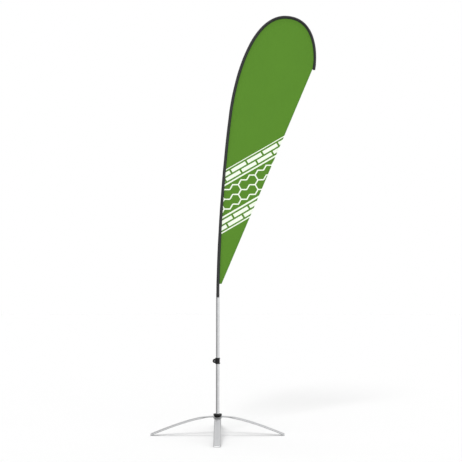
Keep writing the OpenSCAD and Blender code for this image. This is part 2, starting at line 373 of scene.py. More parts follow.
@dataclass(frozen=True)
class PaintedBar(Finish):
    """Satin silver coat: a fine orange-peel skin, with painted shade that darkens the colour round
    the edges.

    Args:
        edge_shade_from: Distance from a leg's middle line where the painted edge shade starts.
        edge_shade_full: Distance where the painted shade is darkest.
        edge_shade_to: Distance where it ends.
        edge_shade_share: How much of the painted shade's colour shows there.
        edge_shade_tint: Brightness of the painted shade's colour beside the coat's.
    """

    edge_shade_from: float = 16.4 * MM
    edge_shade_full: float = 18.6 * MM
    edge_shade_to: float = 20.0 * MM
    edge_shade_share: float = 0.85
    edge_shade_tint: float = 0.35

    def build(self) -> bpy.types.Material:
        """Orange peel from noise about 2 mm across, flake sparkle, scuffs, and painted shade along
        the edges.

        The legs lie along X and Y, so the smaller of |x| and |y| is how far a place lies from
        its leg's middle line.

        Returns:
            The material.
        """
        g = Graph(self.name)
        place = g.coords(Coords.OBJECT)
        x, y, _ = g.split(place)
        # Painted shade: the colour darkens in a band along each leg's rounded edges.
        aside = g.math("MINIMUM", abs(x), abs(y))
        past = aside.smooth(self.edge_shade_full, self.edge_shade_to)
        rim = aside.smooth(self.edge_shade_from, self.edge_shade_full) * (1 - past)
        peel = g.noise(place, 520.0, 2.0)
        flake = g.noise(place, 2600.0, 1.0)
        scuff = g.noise(g.stretch(place, (14.0, 90.0, 60.0)), 1.0, 5.0).smooth(0.55, 0.8)
        base = g.blend(flake, tinted(self.colour, 0.94), tinted(self.colour, 1.05))
        base = g.blend(scuff * 0.35, base, tinted(self.colour, 0.8))
        return g.shade(
            Base_Color=g.blend(rim * self.edge_shade_share, base, tinted(self.colour, self.edge_shade_tint)),
            Metallic=0.8,
            Roughness=peel * 0.12 + scuff * 0.12 + 0.24,
            Normal=g.relief(peel, 0.05 * MM, 0.5),
        )


@dataclass(frozen=True)
class Moulding(Finish):
    """Moulded plastic or rubber with a spark-eroded grain.

    Args:
        roughness: Mean roughness.
        depth: Depth of the grain in metres.
        gloss: Strength of the plain reflection.
        floor_shade: Height above the floor up to which painted shade darkens the colour, or 0.
    """

    roughness: float = 0.45
    depth: float = 0.04 * MM
    gloss: float = 0.35
    floor_shade: float = 0.0

    def build(self) -> bpy.types.Material:
        """Fine cells of grain, a slow change of tone, paler rubbed patches, and painted shade near
        the floor.
        """
        g = Graph(self.name)
        place = g.coords(Coords.OBJECT)
        grain = g.node("ShaderNodeTexVoronoi", {}, {"Vector": place, "Scale": 1400.0})
        tone = g.noise(place, 30.0, 3.0)
        rubbed = g.noise(place, 110.0, 5.0).smooth(0.6, 0.82)
        base = g.blend(tone, tinted(self.colour, 0.88), tinted(self.colour, 1.1))
        # Painted shade: the colour darkens within the lowest few millimetres, standing in for the
        # contact shadow at the floor.
        if self.floor_shade:
            _, _, height = g.split(place)
            floor_shaded = 1 - (height + tone * 0.8 * MM).smooth(0.6 * MM, self.floor_shade)
            base = g.blend(floor_shaded, base, tinted(self.colour, 0.3))
        pale = opaque(tuple(min(0.95, c + 0.02) for c in self.colour))
        return g.shade(
            Base_Color=g.blend(rubbed * 0.4, base, pale),
            Roughness=tone * 0.1 + rubbed * 0.08 + (self.roughness - 0.05),
            Normal=g.relief(grain, self.depth, 0.6),
            Specular_IOR_Level=self.gloss,
        )


@dataclass(frozen=True)
class RodFinish(Finish):
    """Pultruded glass-fibre: long fibres along the rod under a satin resin."""

    def build(self) -> bpy.types.Material:
        """Fibres from noise stretched along the rod, with a clear coat."""
        g = Graph(self.name)
        fibre = g.noise(g.stretch(g.coords(Coords.UV, "skin"), (9.0, 1600.0, 1.0)), 1.0, 4.0)
        return g.shade(
            Base_Color=g.blend(fibre, tinted(self.colour, 0.7), tinted(self.colour, 1.5)),
            Roughness=fibre * 0.15 + 0.28,
            Normal=g.relief(fibre, 0.02 * MM, 0.6),
        )


def weave(g: Graph, along: Sock, across: Sock, pitch: float) -> Sock:
    """A plain weave's height: threads that pass over and under each other.

    The height is the product of a sine across each set of threads, with its sign turned
    at every crossing, so that raised squares stand like a chessboard.

    Args:
        g: The graph.
        along: Place along the cloth in metres.
        across: Place across the cloth in metres.
        pitch: Distance between threads in metres.

    Returns:
        The height, from 0 to 1.
    """
    turn = math.pi / pitch
    return (along * turn).sine() * (across * turn).sine() * 0.5 + 0.5


@dataclass(frozen=True)
class SleeveFabric(Finish):
    """Close-woven charcoal polyester, read from the sleeve's own UV map in metres.

    Args:
        pitch: Distance between threads.
    """

    pitch: float = 0.9 * MM

    def build(self) -> bpy.types.Material:
        """Weave relief, slubs along the thread, and a dusty bloom on the crowns of the folds."""
        g = Graph(self.name)
        place = g.coords(Coords.UV, "skin")
        along, across, _ = g.split(place)
        threads = weave(g, along, across, self.pitch)
        slub = g.noise(g.stretch(place, (60.0, 900.0, 1.0)), 1.0, 3.0)
        bloom = g.noise(place, 24.0, 4.0).smooth(0.4, 0.8)
        base = g.blend(slub, tinted(self.colour, 0.75), tinted(self.colour, 1.25))
        return g.shade(
            Base_Color=g.blend(bloom * 0.35, base, tinted(self.colour, 1.8)),
            Roughness=threads * 0.1 + 0.48,
            Normal=g.relief(threads * 0.8 + slub * 0.2, 0.12 * MM, 0.4),
            Specular_IOR_Level=0.45,
            Sheen_Weight=0.03,
            Sheen_Roughness=0.5,
        )


@dataclass(frozen=True)
class PrintBand:
    """The printed band: brick courses between fine lines, round a row of hexagon outlines.

    Distances across the band are measured on the flat cloth, square to the band's slope.

    Args:
        slope: Angle of the band above level, in degrees.
        lines: Middle and width of each plain line.
        courses: Middle, height and shift of each brick course.
        pitch: Length of a brick with its joint.
        joint: Width of the joint between two bricks.
        cell_mid: Middle of the rows of hexagons.
        cell_w: Width of a hexagon across its flats.
        stroke: Width of a hexagon's outline.
    """

    slope: float = 30.4
    lines: tuple[tuple[float, float], ...] = (
        (1.4223, 0.0056), (1.3397, 0.0094), (1.1663, 0.0106), (1.0827, 0.0076),
    )
    courses: tuple[tuple[float, float, float], ...] = (
        (1.3979, 0.0222, 0.034), (1.3657, 0.0216, 0.094),
        (1.1395, 0.0217, 0.052), (1.1073, 0.0222, 0.112),
    )
    pitch: float = 0.118
    joint: float = 0.0125
    cell_mid: float = 1.2538
    cell_w: float = 0.0630
    stroke: float = 0.0080

    def mask(self, g: Graph, flat: Sock) -> Sock:
        """Where the print is white.

        Args:
            g: The graph.
            flat: Place on the flat cloth in metres.

        Returns:
            1 on white ink, 0 on the ground colour.
        """
        x, z, _ = g.split(flat)
        c, s = math.cos(math.radians(self.slope)), math.sin(math.radians(self.slope))
        along = x * c + z * s
        across = z * c - x * s
        ink: Value = 0.0
        for middle, width in self.lines:
            ink = (abs(across - middle) < width / 2).larger(ink)
        for middle, height, shift in self.courses:
            course = abs(across - middle) < height / 2
            brick = ((along + shift) % self.pitch) > self.joint
            ink = (course * brick).larger(ink)
        return self.cells(g, along, across).larger(ink)

    def cells(self, g: Graph, along: Sock, across: Sock) -> Sock:
        """Outlines of two rows of paired hexagons between the two middle lines.

        A point's distance in a hexagon's own measure is the larger of |x| and
        |x| / 2 + |y| * sqrt(3) / 2. Rows of hexagons repeat every cell_w along the band and are
        shifted by half of that from row to row; every second shared side is left open.

        Args:
            g: The graph.
            along: Place along the band.
            across: Place across the band.

        Returns:
            1 on the outlines, else 0.
        """
        wide = self.cell_w
        corner = wide / math.sqrt(3)
        reach: Value = 1.0
        gaps: Value = 0.0
        for row in (0, 1):
            shift = row * wide / 2
            x = abs((along + shift) % wide - wide / 2)
            y = abs(across - (self.cell_mid + (row - 0.5) * 1.5 * corner))
            reach = g.math("MINIMUM", reach, x.larger(x * 0.5 + y * (math.sqrt(3) / 2)))
            from_side = abs((along + shift + row * wide) % (2 * wide) - wide)
            inside = y < corner / 2 - self.stroke * 0.3
            gaps = ((from_side < self.stroke * 0.8) * inside).larger(gaps)
        return (abs(reach - wide / 2) < self.stroke / 2) * (1 - gaps)


@dataclass(frozen=True)
class FlagFabric(Finish):
    """Knitted polyester printed green, with the band in white.

    Args:
        ink: Colour of the white print.
        seam: Width of the darker strip along the sleeve's seam.
        shade: Width over which painted shade darkens the ground a little towards the seam.
        pitch: Distance between the knit's rows.
        band: The printed band.
    """

    ink: Colour = (0.9, 0.97, 0.84)
    seam: float = 5 * MM
    shade: float = 45 * MM
    pitch: float = 1.1 * MM
    band: PrintBand = PrintBand()

    def build(self) -> bpy.types.Material:
        """Knit relief, a slow unevenness of dye, painted shade towards the seam, the printed band
        and the seam strip.
        """
        g = Graph(self.name)
        flat = g.coords(Coords.UV, "flat")
        x, z, _ = g.split(flat)
        knit = weave(g, x, z, self.pitch)
        dye = g.noise(flat, 6.0, 4.0)
        mesh = g.noise(g.stretch(flat, (1500.0, 500.0, 1.0)), 1.0, 2.0)
        ground = g.blend(dye, tinted(self.colour, 0.95), tinted(self.colour, 1.04))
        ground = g.blend(mesh * 0.25, ground, tinted(self.colour, 0.86))
        # Painted shade: the green darkens towards the sleeve, where the cloth meets it.
        _, inward, _ = g.split(g.coords(Coords.UV, "edge"))
        painted_seam_shade = 0.55 - inward.smooth(0.0, self.shade) * 0.55
        ground = g.blend(painted_seam_shade, ground, tinted(self.colour, 0.84))
        strip = 1 - inward.smooth(self.seam * 0.6, self.seam)
        ground = g.blend(strip, ground, opaque((0.06, 0.13, 0.03)))
        return g.shade(
            Base_Color=g.blend(self.band.mask(g, flat), ground, opaque(self.ink)),
            Roughness=knit * 0.12 + 0.7,
            Normal=g.relief(knit, 0.1 * MM, 0.5),
            Specular_IOR_Level=0.25,
            Sheen_Weight=0.03,
            Sheen_Roughness=0.5,
        )


@dataclass(frozen=True)
class Thread(Finish):
    """Twisted sewing thread."""

    def build(self) -> bpy.types.Material:
        """A soft twist in colour and relief."""
        g = Graph(self.name)
        twist = g.noise(g.coords(Coords.OBJECT), 1900.0, 1.0)
        return g.shade(
            Base_Color=g.blend(twist, tinted(self.colour, 0.8), tinted(self.colour, 1.2)),
            Roughness=twist * 0.1 + 0.6,
            Normal=g.relief(twist, 0.05 * MM, 0.5),
        )


BAR_COAT = PaintedBar(Slot.BAR, "silver_powder_coat", (0.66, 0.665, 0.675))
# The foot pieces darken towards the floor with painted shade.
CAP_PLASTIC = Moulding(
    Slot.CAP, "milky_cap_plastic", (0.86, 0.87, 0.87),
    roughness=0.35, depth=0.02 * MM, floor_shade=3.4 * MM,
)
BLACK_PLASTIC = Moulding(
    Slot.MOULDING, "black_moulding", (0.006, 0.006, 0.0065), roughness=0.42, gloss=0.25
)
ZINC = Metal(Slot.STEEL, "zinc_plated_steel", (0.62, 0.62, 0.63), 0.32, (300.0, 300.0, 300.0))
DARK_ZINC = Metal(Slot.STEEL, "dark_plated_screw", (0.2, 0.2, 0.21), 0.36, (300.0, 300.0, 300.0))
NYLON = Moulding(Slot.NYLON, "natural_nylon", (0.8, 0.78, 0.7), 0.4, 0.02 * MM)
TUBE_METAL = Metal(Slot.TUBE, "drawn_aluminium", (0.61, 0.615, 0.625), 0.18)
ROD_RESIN = RodFinish(Slot.ROD, "glass_fibre_rod", (0.05, 0.05, 0.055))
RUBBER = Moulding(Slot.RUBBER, "tip_rubber", (0.03, 0.03, 0.03), 0.75, 0.05 * MM)
SLEEVE_CLOTH = SleeveFabric(Slot.SLEEVE, "charcoal_sleeve", (0.0145, 0.0145, 0.0156))
FLAG_CLOTH = FlagFabric(Slot.CLOTH, "green_printed_knit", (0.096, 0.247, 0.0202))
HEM_CLOTH = FlagFabric(Slot.CLOTH, "green_hem", (0.090, 0.236, 0.0196))
DARK_THREAD = Thread(Slot.SLEEVE, "charcoal_thread", (0.05, 0.05, 0.055))
GREEN_THREAD = Thread(Slot.CLOTH, "green_thread", (0.1, 0.25, 0.035))


# ---------------------------------------------------------------- surfaces


def cells(rows: int, cols: int, wrap_rows: bool, wrap_cols: bool) -> tuple[np.ndarray, np.ndarray]:
    """Row and column of every cell of a grid of points; a grid that wraps has one more."""
    down = np.arange(rows if wrap_rows else rows - 1)
    i, j = np.meshgrid(down, np.arange(cols if wrap_cols else cols - 1), indexing="ij")
    return i.ravel(), j.ravel()


def grid_quads(rows: int, cols: int, wrap_rows: bool, wrap_cols: bool) -> np.ndarray:
    """The four corners of every cell of a grid of points.

    Args:
        rows: Number of rows of points.
        cols: Number of points in a row.
        wrap_rows: Whether the last row joins the first.
        wrap_cols: Whether a row's last point joins its first.

    Returns:
        An array of point numbers, four to a cell.
    """
    i, j = cells(rows, cols, wrap_rows, wrap_cols)
    up, on = (i + 1) % rows, (j + 1) % cols
    return np.stack([i * cols + j, up * cols + j, up * cols + on, i * cols + on], 1)


def fan(ring: np.ndarray, pole: int) -> np.ndarray:
    """Triangles from a closed ring of points to one point."""
    return np.stack([ring, np.roll(ring, -1), np.full(len(ring), pole)], 1)


def signed_volume(points: np.ndarray, faces: Sequence[np.ndarray]) -> float:
    """Volume inside the faces, negative if they point inwards.

    Each face is cut into triangles from its first corner, and each triangle adds a sixth of
    the triple product of its corners.

    Args:
        points: One row of three coordinates for each point.
        faces: Arrays of point numbers, one array for each number of corners.

    Returns:
        The volume.
    """
    total = 0.0
    for f in faces:
        for k in range(1, f.shape[1] - 1):
            a, b, c = points[f[:, 0]], points[f[:, k]], points[f[:, k + 1]]
            total += float(np.einsum("ij,ij->", a, np.cross(b, c))) / 6
    return total


def mesh_object(
    name: str,
    points: np.ndarray,
    faces: Sequence[np.ndarray],
    maps: dict[str, Sequence[np.ndarray]] | None = None,
    closed: bool = True,
    crease: float = 40.0,
) -> bpy.types.Object:
    """Puts whole arrays of points and faces into a new object at the origin.

    Args:
        name: Name of the piece.
        points: One row of three coordinates for each point.
        faces: Arrays of point numbers, one array for each number of corners.
        maps: For each UV map, an array of corner places for each array of faces.
        closed: Whether the surface is closed, so that it must face outwards.
        crease: Edges sharper than this many degrees stay sharp.

    Returns:
        The object, linked to the scene.
    """
    flip = closed and signed_volume(points, faces) < 0
    if flip:
        faces = [f[:, ::-1] for f in faces]
        maps = {k: [uv[:, ::-1] for uv in v] for k, v in (maps or {}).items()}
    mesh = bpy.data.meshes.new(name)
    corners = np.concatenate([f.ravel() for f in faces]).astype(np.int32)
    sizes = np.concatenate([np.full(len(f), f.shape[1]) for f in faces])
    starts = np.concatenate([[0], np.cumsum(sizes)[:-1]]).astype(np.int32)
    mesh.vertices.add(len(points))
    mesh.vertices.foreach_set("co", np.ascontiguousarray(points, np.float32).ravel())
    mesh.loops.add(len(corners))
    mesh.loops.foreach_set("vertex_index", corners)
    mesh.polygons.add(len(sizes))
    mesh.polygons.foreach_set("loop_start", starts)
    for layer, parts in (maps or {}).items():
        uv = mesh.uv_layers.new(name=layer)
        flat = np.concatenate([p.reshape(-1, 2) for p in parts]).astype(np.float32)
        uv.data.foreach_set("uv", flat.ravel())
    mesh.update(calc_edges=True)
    mesh.polygons.foreach_set("use_smooth", np.ones(len(sizes), bool))
    mesh.set_sharp_from_angle(angle=math.radians(crease))
    piece = bpy.data.objects.new(name, mesh)
    bpy.context.scene.collection.objects.link(piece)
    return piece


def surface(
    name: str,
    grid: np.ndarray,
    wrap_rows: bool = False,
    wrap_cols: bool = True,
    capped: bool = False,
    maps: dict[str, np.ndarray] | None = None,
    crease: float = 40.0,
) -> bpy.types.Object:
    """Makes a piece from a grid of points that a formula gave.

    Args:
        name: Name of the piece.
        grid: Points, as rows by columns by three.
        wrap_rows: Whether the last row joins the first.
        wrap_cols: Whether each row closes on itself.
        capped: Whether the first and last rows are closed by a flat face.
        maps: For each UV map, its places on the grid, with one more row or column where it wraps.
        crease: Edges sharper than this many degrees stay sharp.

    Returns:
        The object.
    """
    rows, cols = grid.shape[:2]
    points = grid.reshape(-1, 3)
    faces = [grid_quads(rows, cols, wrap_rows, wrap_cols)]
    corner_maps: dict[str, list[np.ndarray]] = {}
    i, j = cells(rows, cols, wrap_rows, wrap_cols)
    for layer, uv in (maps or {}).items():
        around = [uv[i, j], uv[i + 1, j], uv[i + 1, j + 1], uv[i, j + 1]]
        corner_maps[layer] = [np.stack(around, 1)]
    if capped:
        last = (rows - 1) * cols + np.arange(cols)
        faces += [np.arange(cols)[None, ::-1], last[None]]
        for layer, uv in (maps or {}).items():
            corner_maps[layer] += [uv[0, cols - 1 :: -1][None], uv[-1, :cols][None]]
    closed = capped or (wrap_rows and wrap_cols)
    return mesh_object(name, points, faces, corner_maps, closed, crease)


def turned(
    name: str, outline: np.ndarray, sides: int = 96, crease: float = 35.0
) -> bpy.types.Object:
    """A closed outline of radius and height turned about the upright axis.

    Point (i, j) is (r_j cos a_i, r_j sin a_i, z_j), where a_i goes once round.

    Args:
        name: Name of the piece.
        outline: Radius and height of each point of the closed outline.
        sides: Steps in a full turn.
        crease: Edges sharper than this many degrees stay sharp.

    Returns:
        The object.
    """
    a = np.linspace(0, 2 * np.pi, sides, endpoint=False)[:, None]
    r, z = outline[None, :, 0], outline[None, :, 1]
    grid = np.stack([r * np.cos(a), r * np.sin(a), np.broadcast_to(z, (sides, len(outline)))], 2)
    return surface(name, grid, wrap_rows=True, crease=crease)


def quarter(
    centre: Sequence[float], radius: float, start: float, end: float, steps: int = 6
) -> np.ndarray:
    """Points on an arc in the outline's plane, from start to end degrees."""
    a = np.radians(np.linspace(start, end, steps))
    return np.stack([centre[0] + radius * np.cos(a), centre[1] + radius * np.sin(a)], 1)


def eased(corners: Sequence[tuple[np.ndarray, float]], steps: int = 5) -> np.ndarray:
    """An outline with each corner turned into a short curve.

    Corner c becomes (1-u)^2 a + 2u(1-u) c + u^2 b, where a and b lie on its two sides.

    Args:
        corners: Each corner, and how far from it the curve starts.
        steps: Points on a corner.

    Returns:
        The points of the closed outline.
    """
    place = np.array([c for c, _ in corners])
    size = np.array([r for _, r in corners])[:, None]
    a = place + size * unit(np.roll(place, 1, 0) - place)
    b = place + size * unit(np.roll(place, -1, 0) - place)
    u = np.linspace(0, 1, steps)[None, :, None]
    curve = (1 - u) ** 2 * a[:, None] + 2 * u * (1 - u) * place[:, None] + u**2 * b[:, None]
    return curve.reshape(-1, 2)


def unit(vectors: np.ndarray) -> np.ndarray:
    """The vectors at a length of 1."""
    return vectors / np.linalg.norm(vectors, axis=-1, keepdims=True)


def distance_along(points: np.ndarray) -> np.ndarray:
    """Distance from the first point to each point, over straight steps."""
    return np.concatenate([[0], np.cumsum(np.linalg.norm(np.diff(points, axis=0), axis=1))])


def unrolled(run: np.ndarray, radius: float, sides: int) -> np.ndarray:
    """Places on a tube's unrolled skin: distance along it and distance round it."""
    girth = np.linspace(0, 2 * np.pi * radius, sides + 1)
    return np.stack(np.meshgrid(run, girth, indexing="ij"), 2)


def cubic(
    u: np.ndarray, a: np.ndarray, b: np.ndarray, c: np.ndarray, d: np.ndarray
) -> tuple[np.ndarray, np.ndarray]:
    """A curve with four control points.

    Share u of it is at (1-u)^3 a + 3(1-u)^2 u b + 3(1-u) u^2 c + u^3 d.

    Args:
        u: Shares, as a column.
        a: Start.
        b: Point that the curve leaves its start towards.
        c: Point that it comes to its end from.
        d: End.

    Returns:
        The points and the unit directions.
    """
    point = (1 - u) ** 3 * a + 3 * (1 - u) ** 2 * u * b + 3 * (1 - u) * u**2 * c + u**3 * d
    way = (1 - u) ** 2 * (b - a) + 2 * (1 - u) * u * (c - b) + u**2 * (d - c)
    return point, unit(way)


def smoothstep(x: np.ndarray, low: float, high: float) -> np.ndarray:
    """0 below low, 1 above high, and 3t^2 - 2t^3 between them."""
    t = np.clip((x - low) / (high - low), 0, 1)
    return t * t * (3 - 2 * t)


def rounded_section(
    half_w: np.ndarray, half_h: np.ndarray, corner: np.ndarray, arc: int = 6, across: int = 14
) -> np.ndarray:
    """A rounded rectangle for each station.

    Each corner is an arc about (w - c, h - c), and the top and bottom are cut into equal
    steps, so that a pressed shape can follow them.

    Args:
        half_w: Half the width at each station.
        half_h: Half the height at each station.
        corner: Radius of the corners at each station.
        arc: Points on a corner.
        across: Steps across the top and bottom.

    Returns:
        Stations by points by (across, up).
    """
    quart = np.linspace(0, np.pi / 2, arc)
    run = np.linspace(1, -1, across + 1)[1:-1]
    flat = np.full(len(run), np.pi / 2)
    angle = np.concatenate([quart, flat, quart + np.pi / 2])
    side = np.concatenate([np.ones(arc), run, -np.ones(arc)])
    angle = np.concatenate([angle, angle + np.pi])
    side = np.concatenate([side, -side])
    level = np.concatenate([np.ones(len(angle) // 2), -np.ones(len(angle) // 2)])
    w, h, c = half_w[:, None], half_h[:, None], corner[:, None]
    return np.stack([side * (w - c) + c * np.cos(angle), level * (h - c) + c * np.sin(angle)], 2)


def stitches(
    name: str, places: np.ndarray, ahead: np.ndarray, out: np.ndarray, length: float, radius: float
) -> bpy.types.Object:
    """A row of thread stitches, each a short bead with tapered ends.

    A bead's ring at share u of its length has the radius r sqrt(1 - (2u - 1)^4), and its
    middle line sinks at both ends where the thread enters the cloth.

    Args:
        name: Name of the piece.
        places: Middle of each stitch.
        ahead: Unit direction of each stitch.
        out: Unit direction off the cloth at each stitch.
        length: Length of a stitch.
        radius: Radius of the thread.

    Returns:
        The object.
    """
    sides, rings = 6, 5
    u = np.linspace(0.04, 0.96, rings)
    a = np.linspace(0, 2 * np.pi, sides, endpoint=False)
    thick = radius * np.sqrt(1 - (2 * u - 1) ** 4)
    sink = -1.4 * radius * (2 * u - 1) ** 4
    side = np.cross(ahead, out)
    local_x = ((u - 0.5) * length)[:, None] * np.ones(sides)
    local_y = thick[:, None] * np.cos(a)
    local_z = thick[:, None] * np.sin(a) + sink[:, None]
    local = np.stack([local_x, local_y, local_z], 2).reshape(-1, 3)
    tips = np.array([[-0.5 * length, 0, sink[0]], [0.5 * length, 0, sink[-1]]])
    local = np.concatenate([local, tips])
    basis = np.stack([ahead, side, out], 1)
    points = places[:, None, :] + np.einsum("pk,nkj->npj", local, basis)
    count = len(local)
    first, last = np.arange(sides), (rings - 1) * sides + np.arange(sides)
    quads = grid_quads(rings, sides, False, True)
    tris = np.concatenate([fan(first, rings * sides)[:, [1, 0, 2]], fan(last, rings * sides + 1)])
    shift = (np.arange(len(places)) * count)[:, None, None]
    faces = [(quads[None] + shift).reshape(-1, 4), (tris[None] + shift).reshape(-1, 3)]
    return mesh_object(name, points.reshape(-1, 3), faces, crease=80.0)


def dress(piece: bpy.types.Object, finish: Finish) -> None:
    """Gives the piece one finish."""
    piece.data.materials.clear()
    piece.data.materials.append(finish.material())


def settle(piece: bpy.types.Object, body: Body, finish: Finish, *nodes: str) -> bpy.types.Object:
    """Dresses a new piece, makes it ride on a body and stands it in for frame nodes.

    Args:
        piece: The new piece.
        body: The body it moves with.
        finish: Its finish.
        *nodes: Frame nodes that it replaces.

    Returns:
        The piece.
    """
    dress(piece, finish)
    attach(piece, body.value)
    if nodes:
        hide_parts(*nodes)
    LOG.info("%s: %d faces on %s", piece.name, len(piece.data.polygons), body.value)
    return piece


def softened(node: str, name: str, edge: float) -> bpy.types.Object:
    """A merged copy of a frame node with its sharp edges rounded.

    Args:
        node: The frame node whose shape is kept.
        name: Name of the new piece.
        edge: Width of the rounding in metres.

    Returns:
        The object.
    """
    mesh = FRAME_NODES[node].data.copy()
    mesh.name = name
    work = bmesh.new()
    work.from_mesh(mesh)
    bmesh.ops.remove_doubles(work, verts=work.verts, dist=0.002 * MM)
    flat = math.radians(1.0)
    bmesh.ops.dissolve_limit(work, angle_limit=flat, verts=work.verts, edges=work.edges)
    turn = math.radians(32)
    sharp = [e for e in work.edges if len(e.link_faces) == 2 and e.calc_face_angle(0) > turn]
    bmesh.ops.bevel(
        work, geom=sharp, offset=edge, segments=2, profile=0.6, affect="EDGES", clamp_overlap=True
    )
    work.to_mesh(mesh)
    work.free()
    mesh.polygons.foreach_set("use_smooth", np.ones(len(mesh.polygons), bool))
    mesh.set_sharp_from_angle(angle=math.radians(40))
    piece = bpy.data.objects.new(name, mesh)
    bpy.context.scene.collection.objects.link(piece)
    return piece


FRAME_NODES: dict[str, bpy.types.Object] = {}


# ---------------------------------------------------------------- the bent pole's line


@dataclass
class PoleCurve:
    """The middle line of the bent rod: three curves that join smoothly, from mouth to tip.

    Each curve is a cubic with four control points, as (X, Z).

    Args:
        mouth: Height of the sleeve's mouth.
        lean: Lean of the rod where the first curve ends, in degrees.
        lean_point: Where the first curve ends.
        crown: The highest point.
        tip: The tip.
        tip_lean: Heading at the tip, in degrees from upright.
        pulls: How far each curve's two inner control points lie from its ends, foot first.
    """

    mouth: float
    lean: float = 7.3
    lean_point: tuple[float, float] = (0.080, 2.046)
    crown: tuple[float, float] = (0.439, 2.695)
    tip: tuple[float, float] = (0.625, 2.343)
    tip_lean: float = 191.0
    pulls: tuple[float, ...] = (0.295, 0.380, 0.268, 0.210, 0.199, 0.109)
    controls: np.ndarray = field(init=False)

    def __post_init__(self) -> None:
        """Works out the control points."""
        foot, lean, crown, tip = (
            np.array(p) for p in ((0.0, self.mouth), self.lean_point, self.crown, self.tip)
        )
        up, ahead, level, down = (self.heading(a) for a in (0.0, self.lean, 90.0, self.tip_lean))
        p = self.pulls
        self.controls = np.array([
            [foot, foot + p[0] * up, lean - p[1] * ahead, lean],
            [lean, lean + p[2] * ahead, crown - p[3] * level, crown],
            [crown, crown + p[4] * level, tip - p[5] * down, tip],
        ])

    @staticmethod
    def heading(angle: float) -> np.ndarray:
        """Unit vector (X, Z) at an angle from upright, in degrees."""
        return np.array([math.sin(math.radians(angle)), math.cos(math.radians(angle))])

    def at(self, t: np.ndarray) -> tuple[np.ndarray, np.ndarray, np.ndarray]:
        """The line at each t, which runs from 0 to 3, one for each curve.

        Args:
            t: Places along the line.

        Returns:
            The points, the unit directions and the unit directions towards the flag, as (X, Z).
        """
        which = np.clip(np.floor(t), 0, 2).astype(int)
        point, ahead = cubic((t - which)[:, None], *(self.controls[which, k] for k in range(4)))
        return point, ahead, np.stack([ahead[:, 1], -ahead[:, 0]], 1)

    def even(self, start: float, end: float, count: int) -> np.ndarray:
        """Values of t from start to end that lie at equal distances along the line."""
        t = np.linspace(start, end, 2000)
        run = self.run(t)
        return np.interp(np.linspace(0, run[-1], count), run, t)

    def run(self, t: np.ndarray) -> np.ndarray:
        """Distance along the line at each t, from the first."""
        return distance_along(self.at(t)[0])


def in_plane(xz: np.ndarray, y: np.ndarray) -> np.ndarray:
    """Points in space from (X, Z) and Y."""
    return np.stack([xz[..., 0], y, xz[..., 1]], -1)


# ---------------------------------------------------------------- sub-assemblies


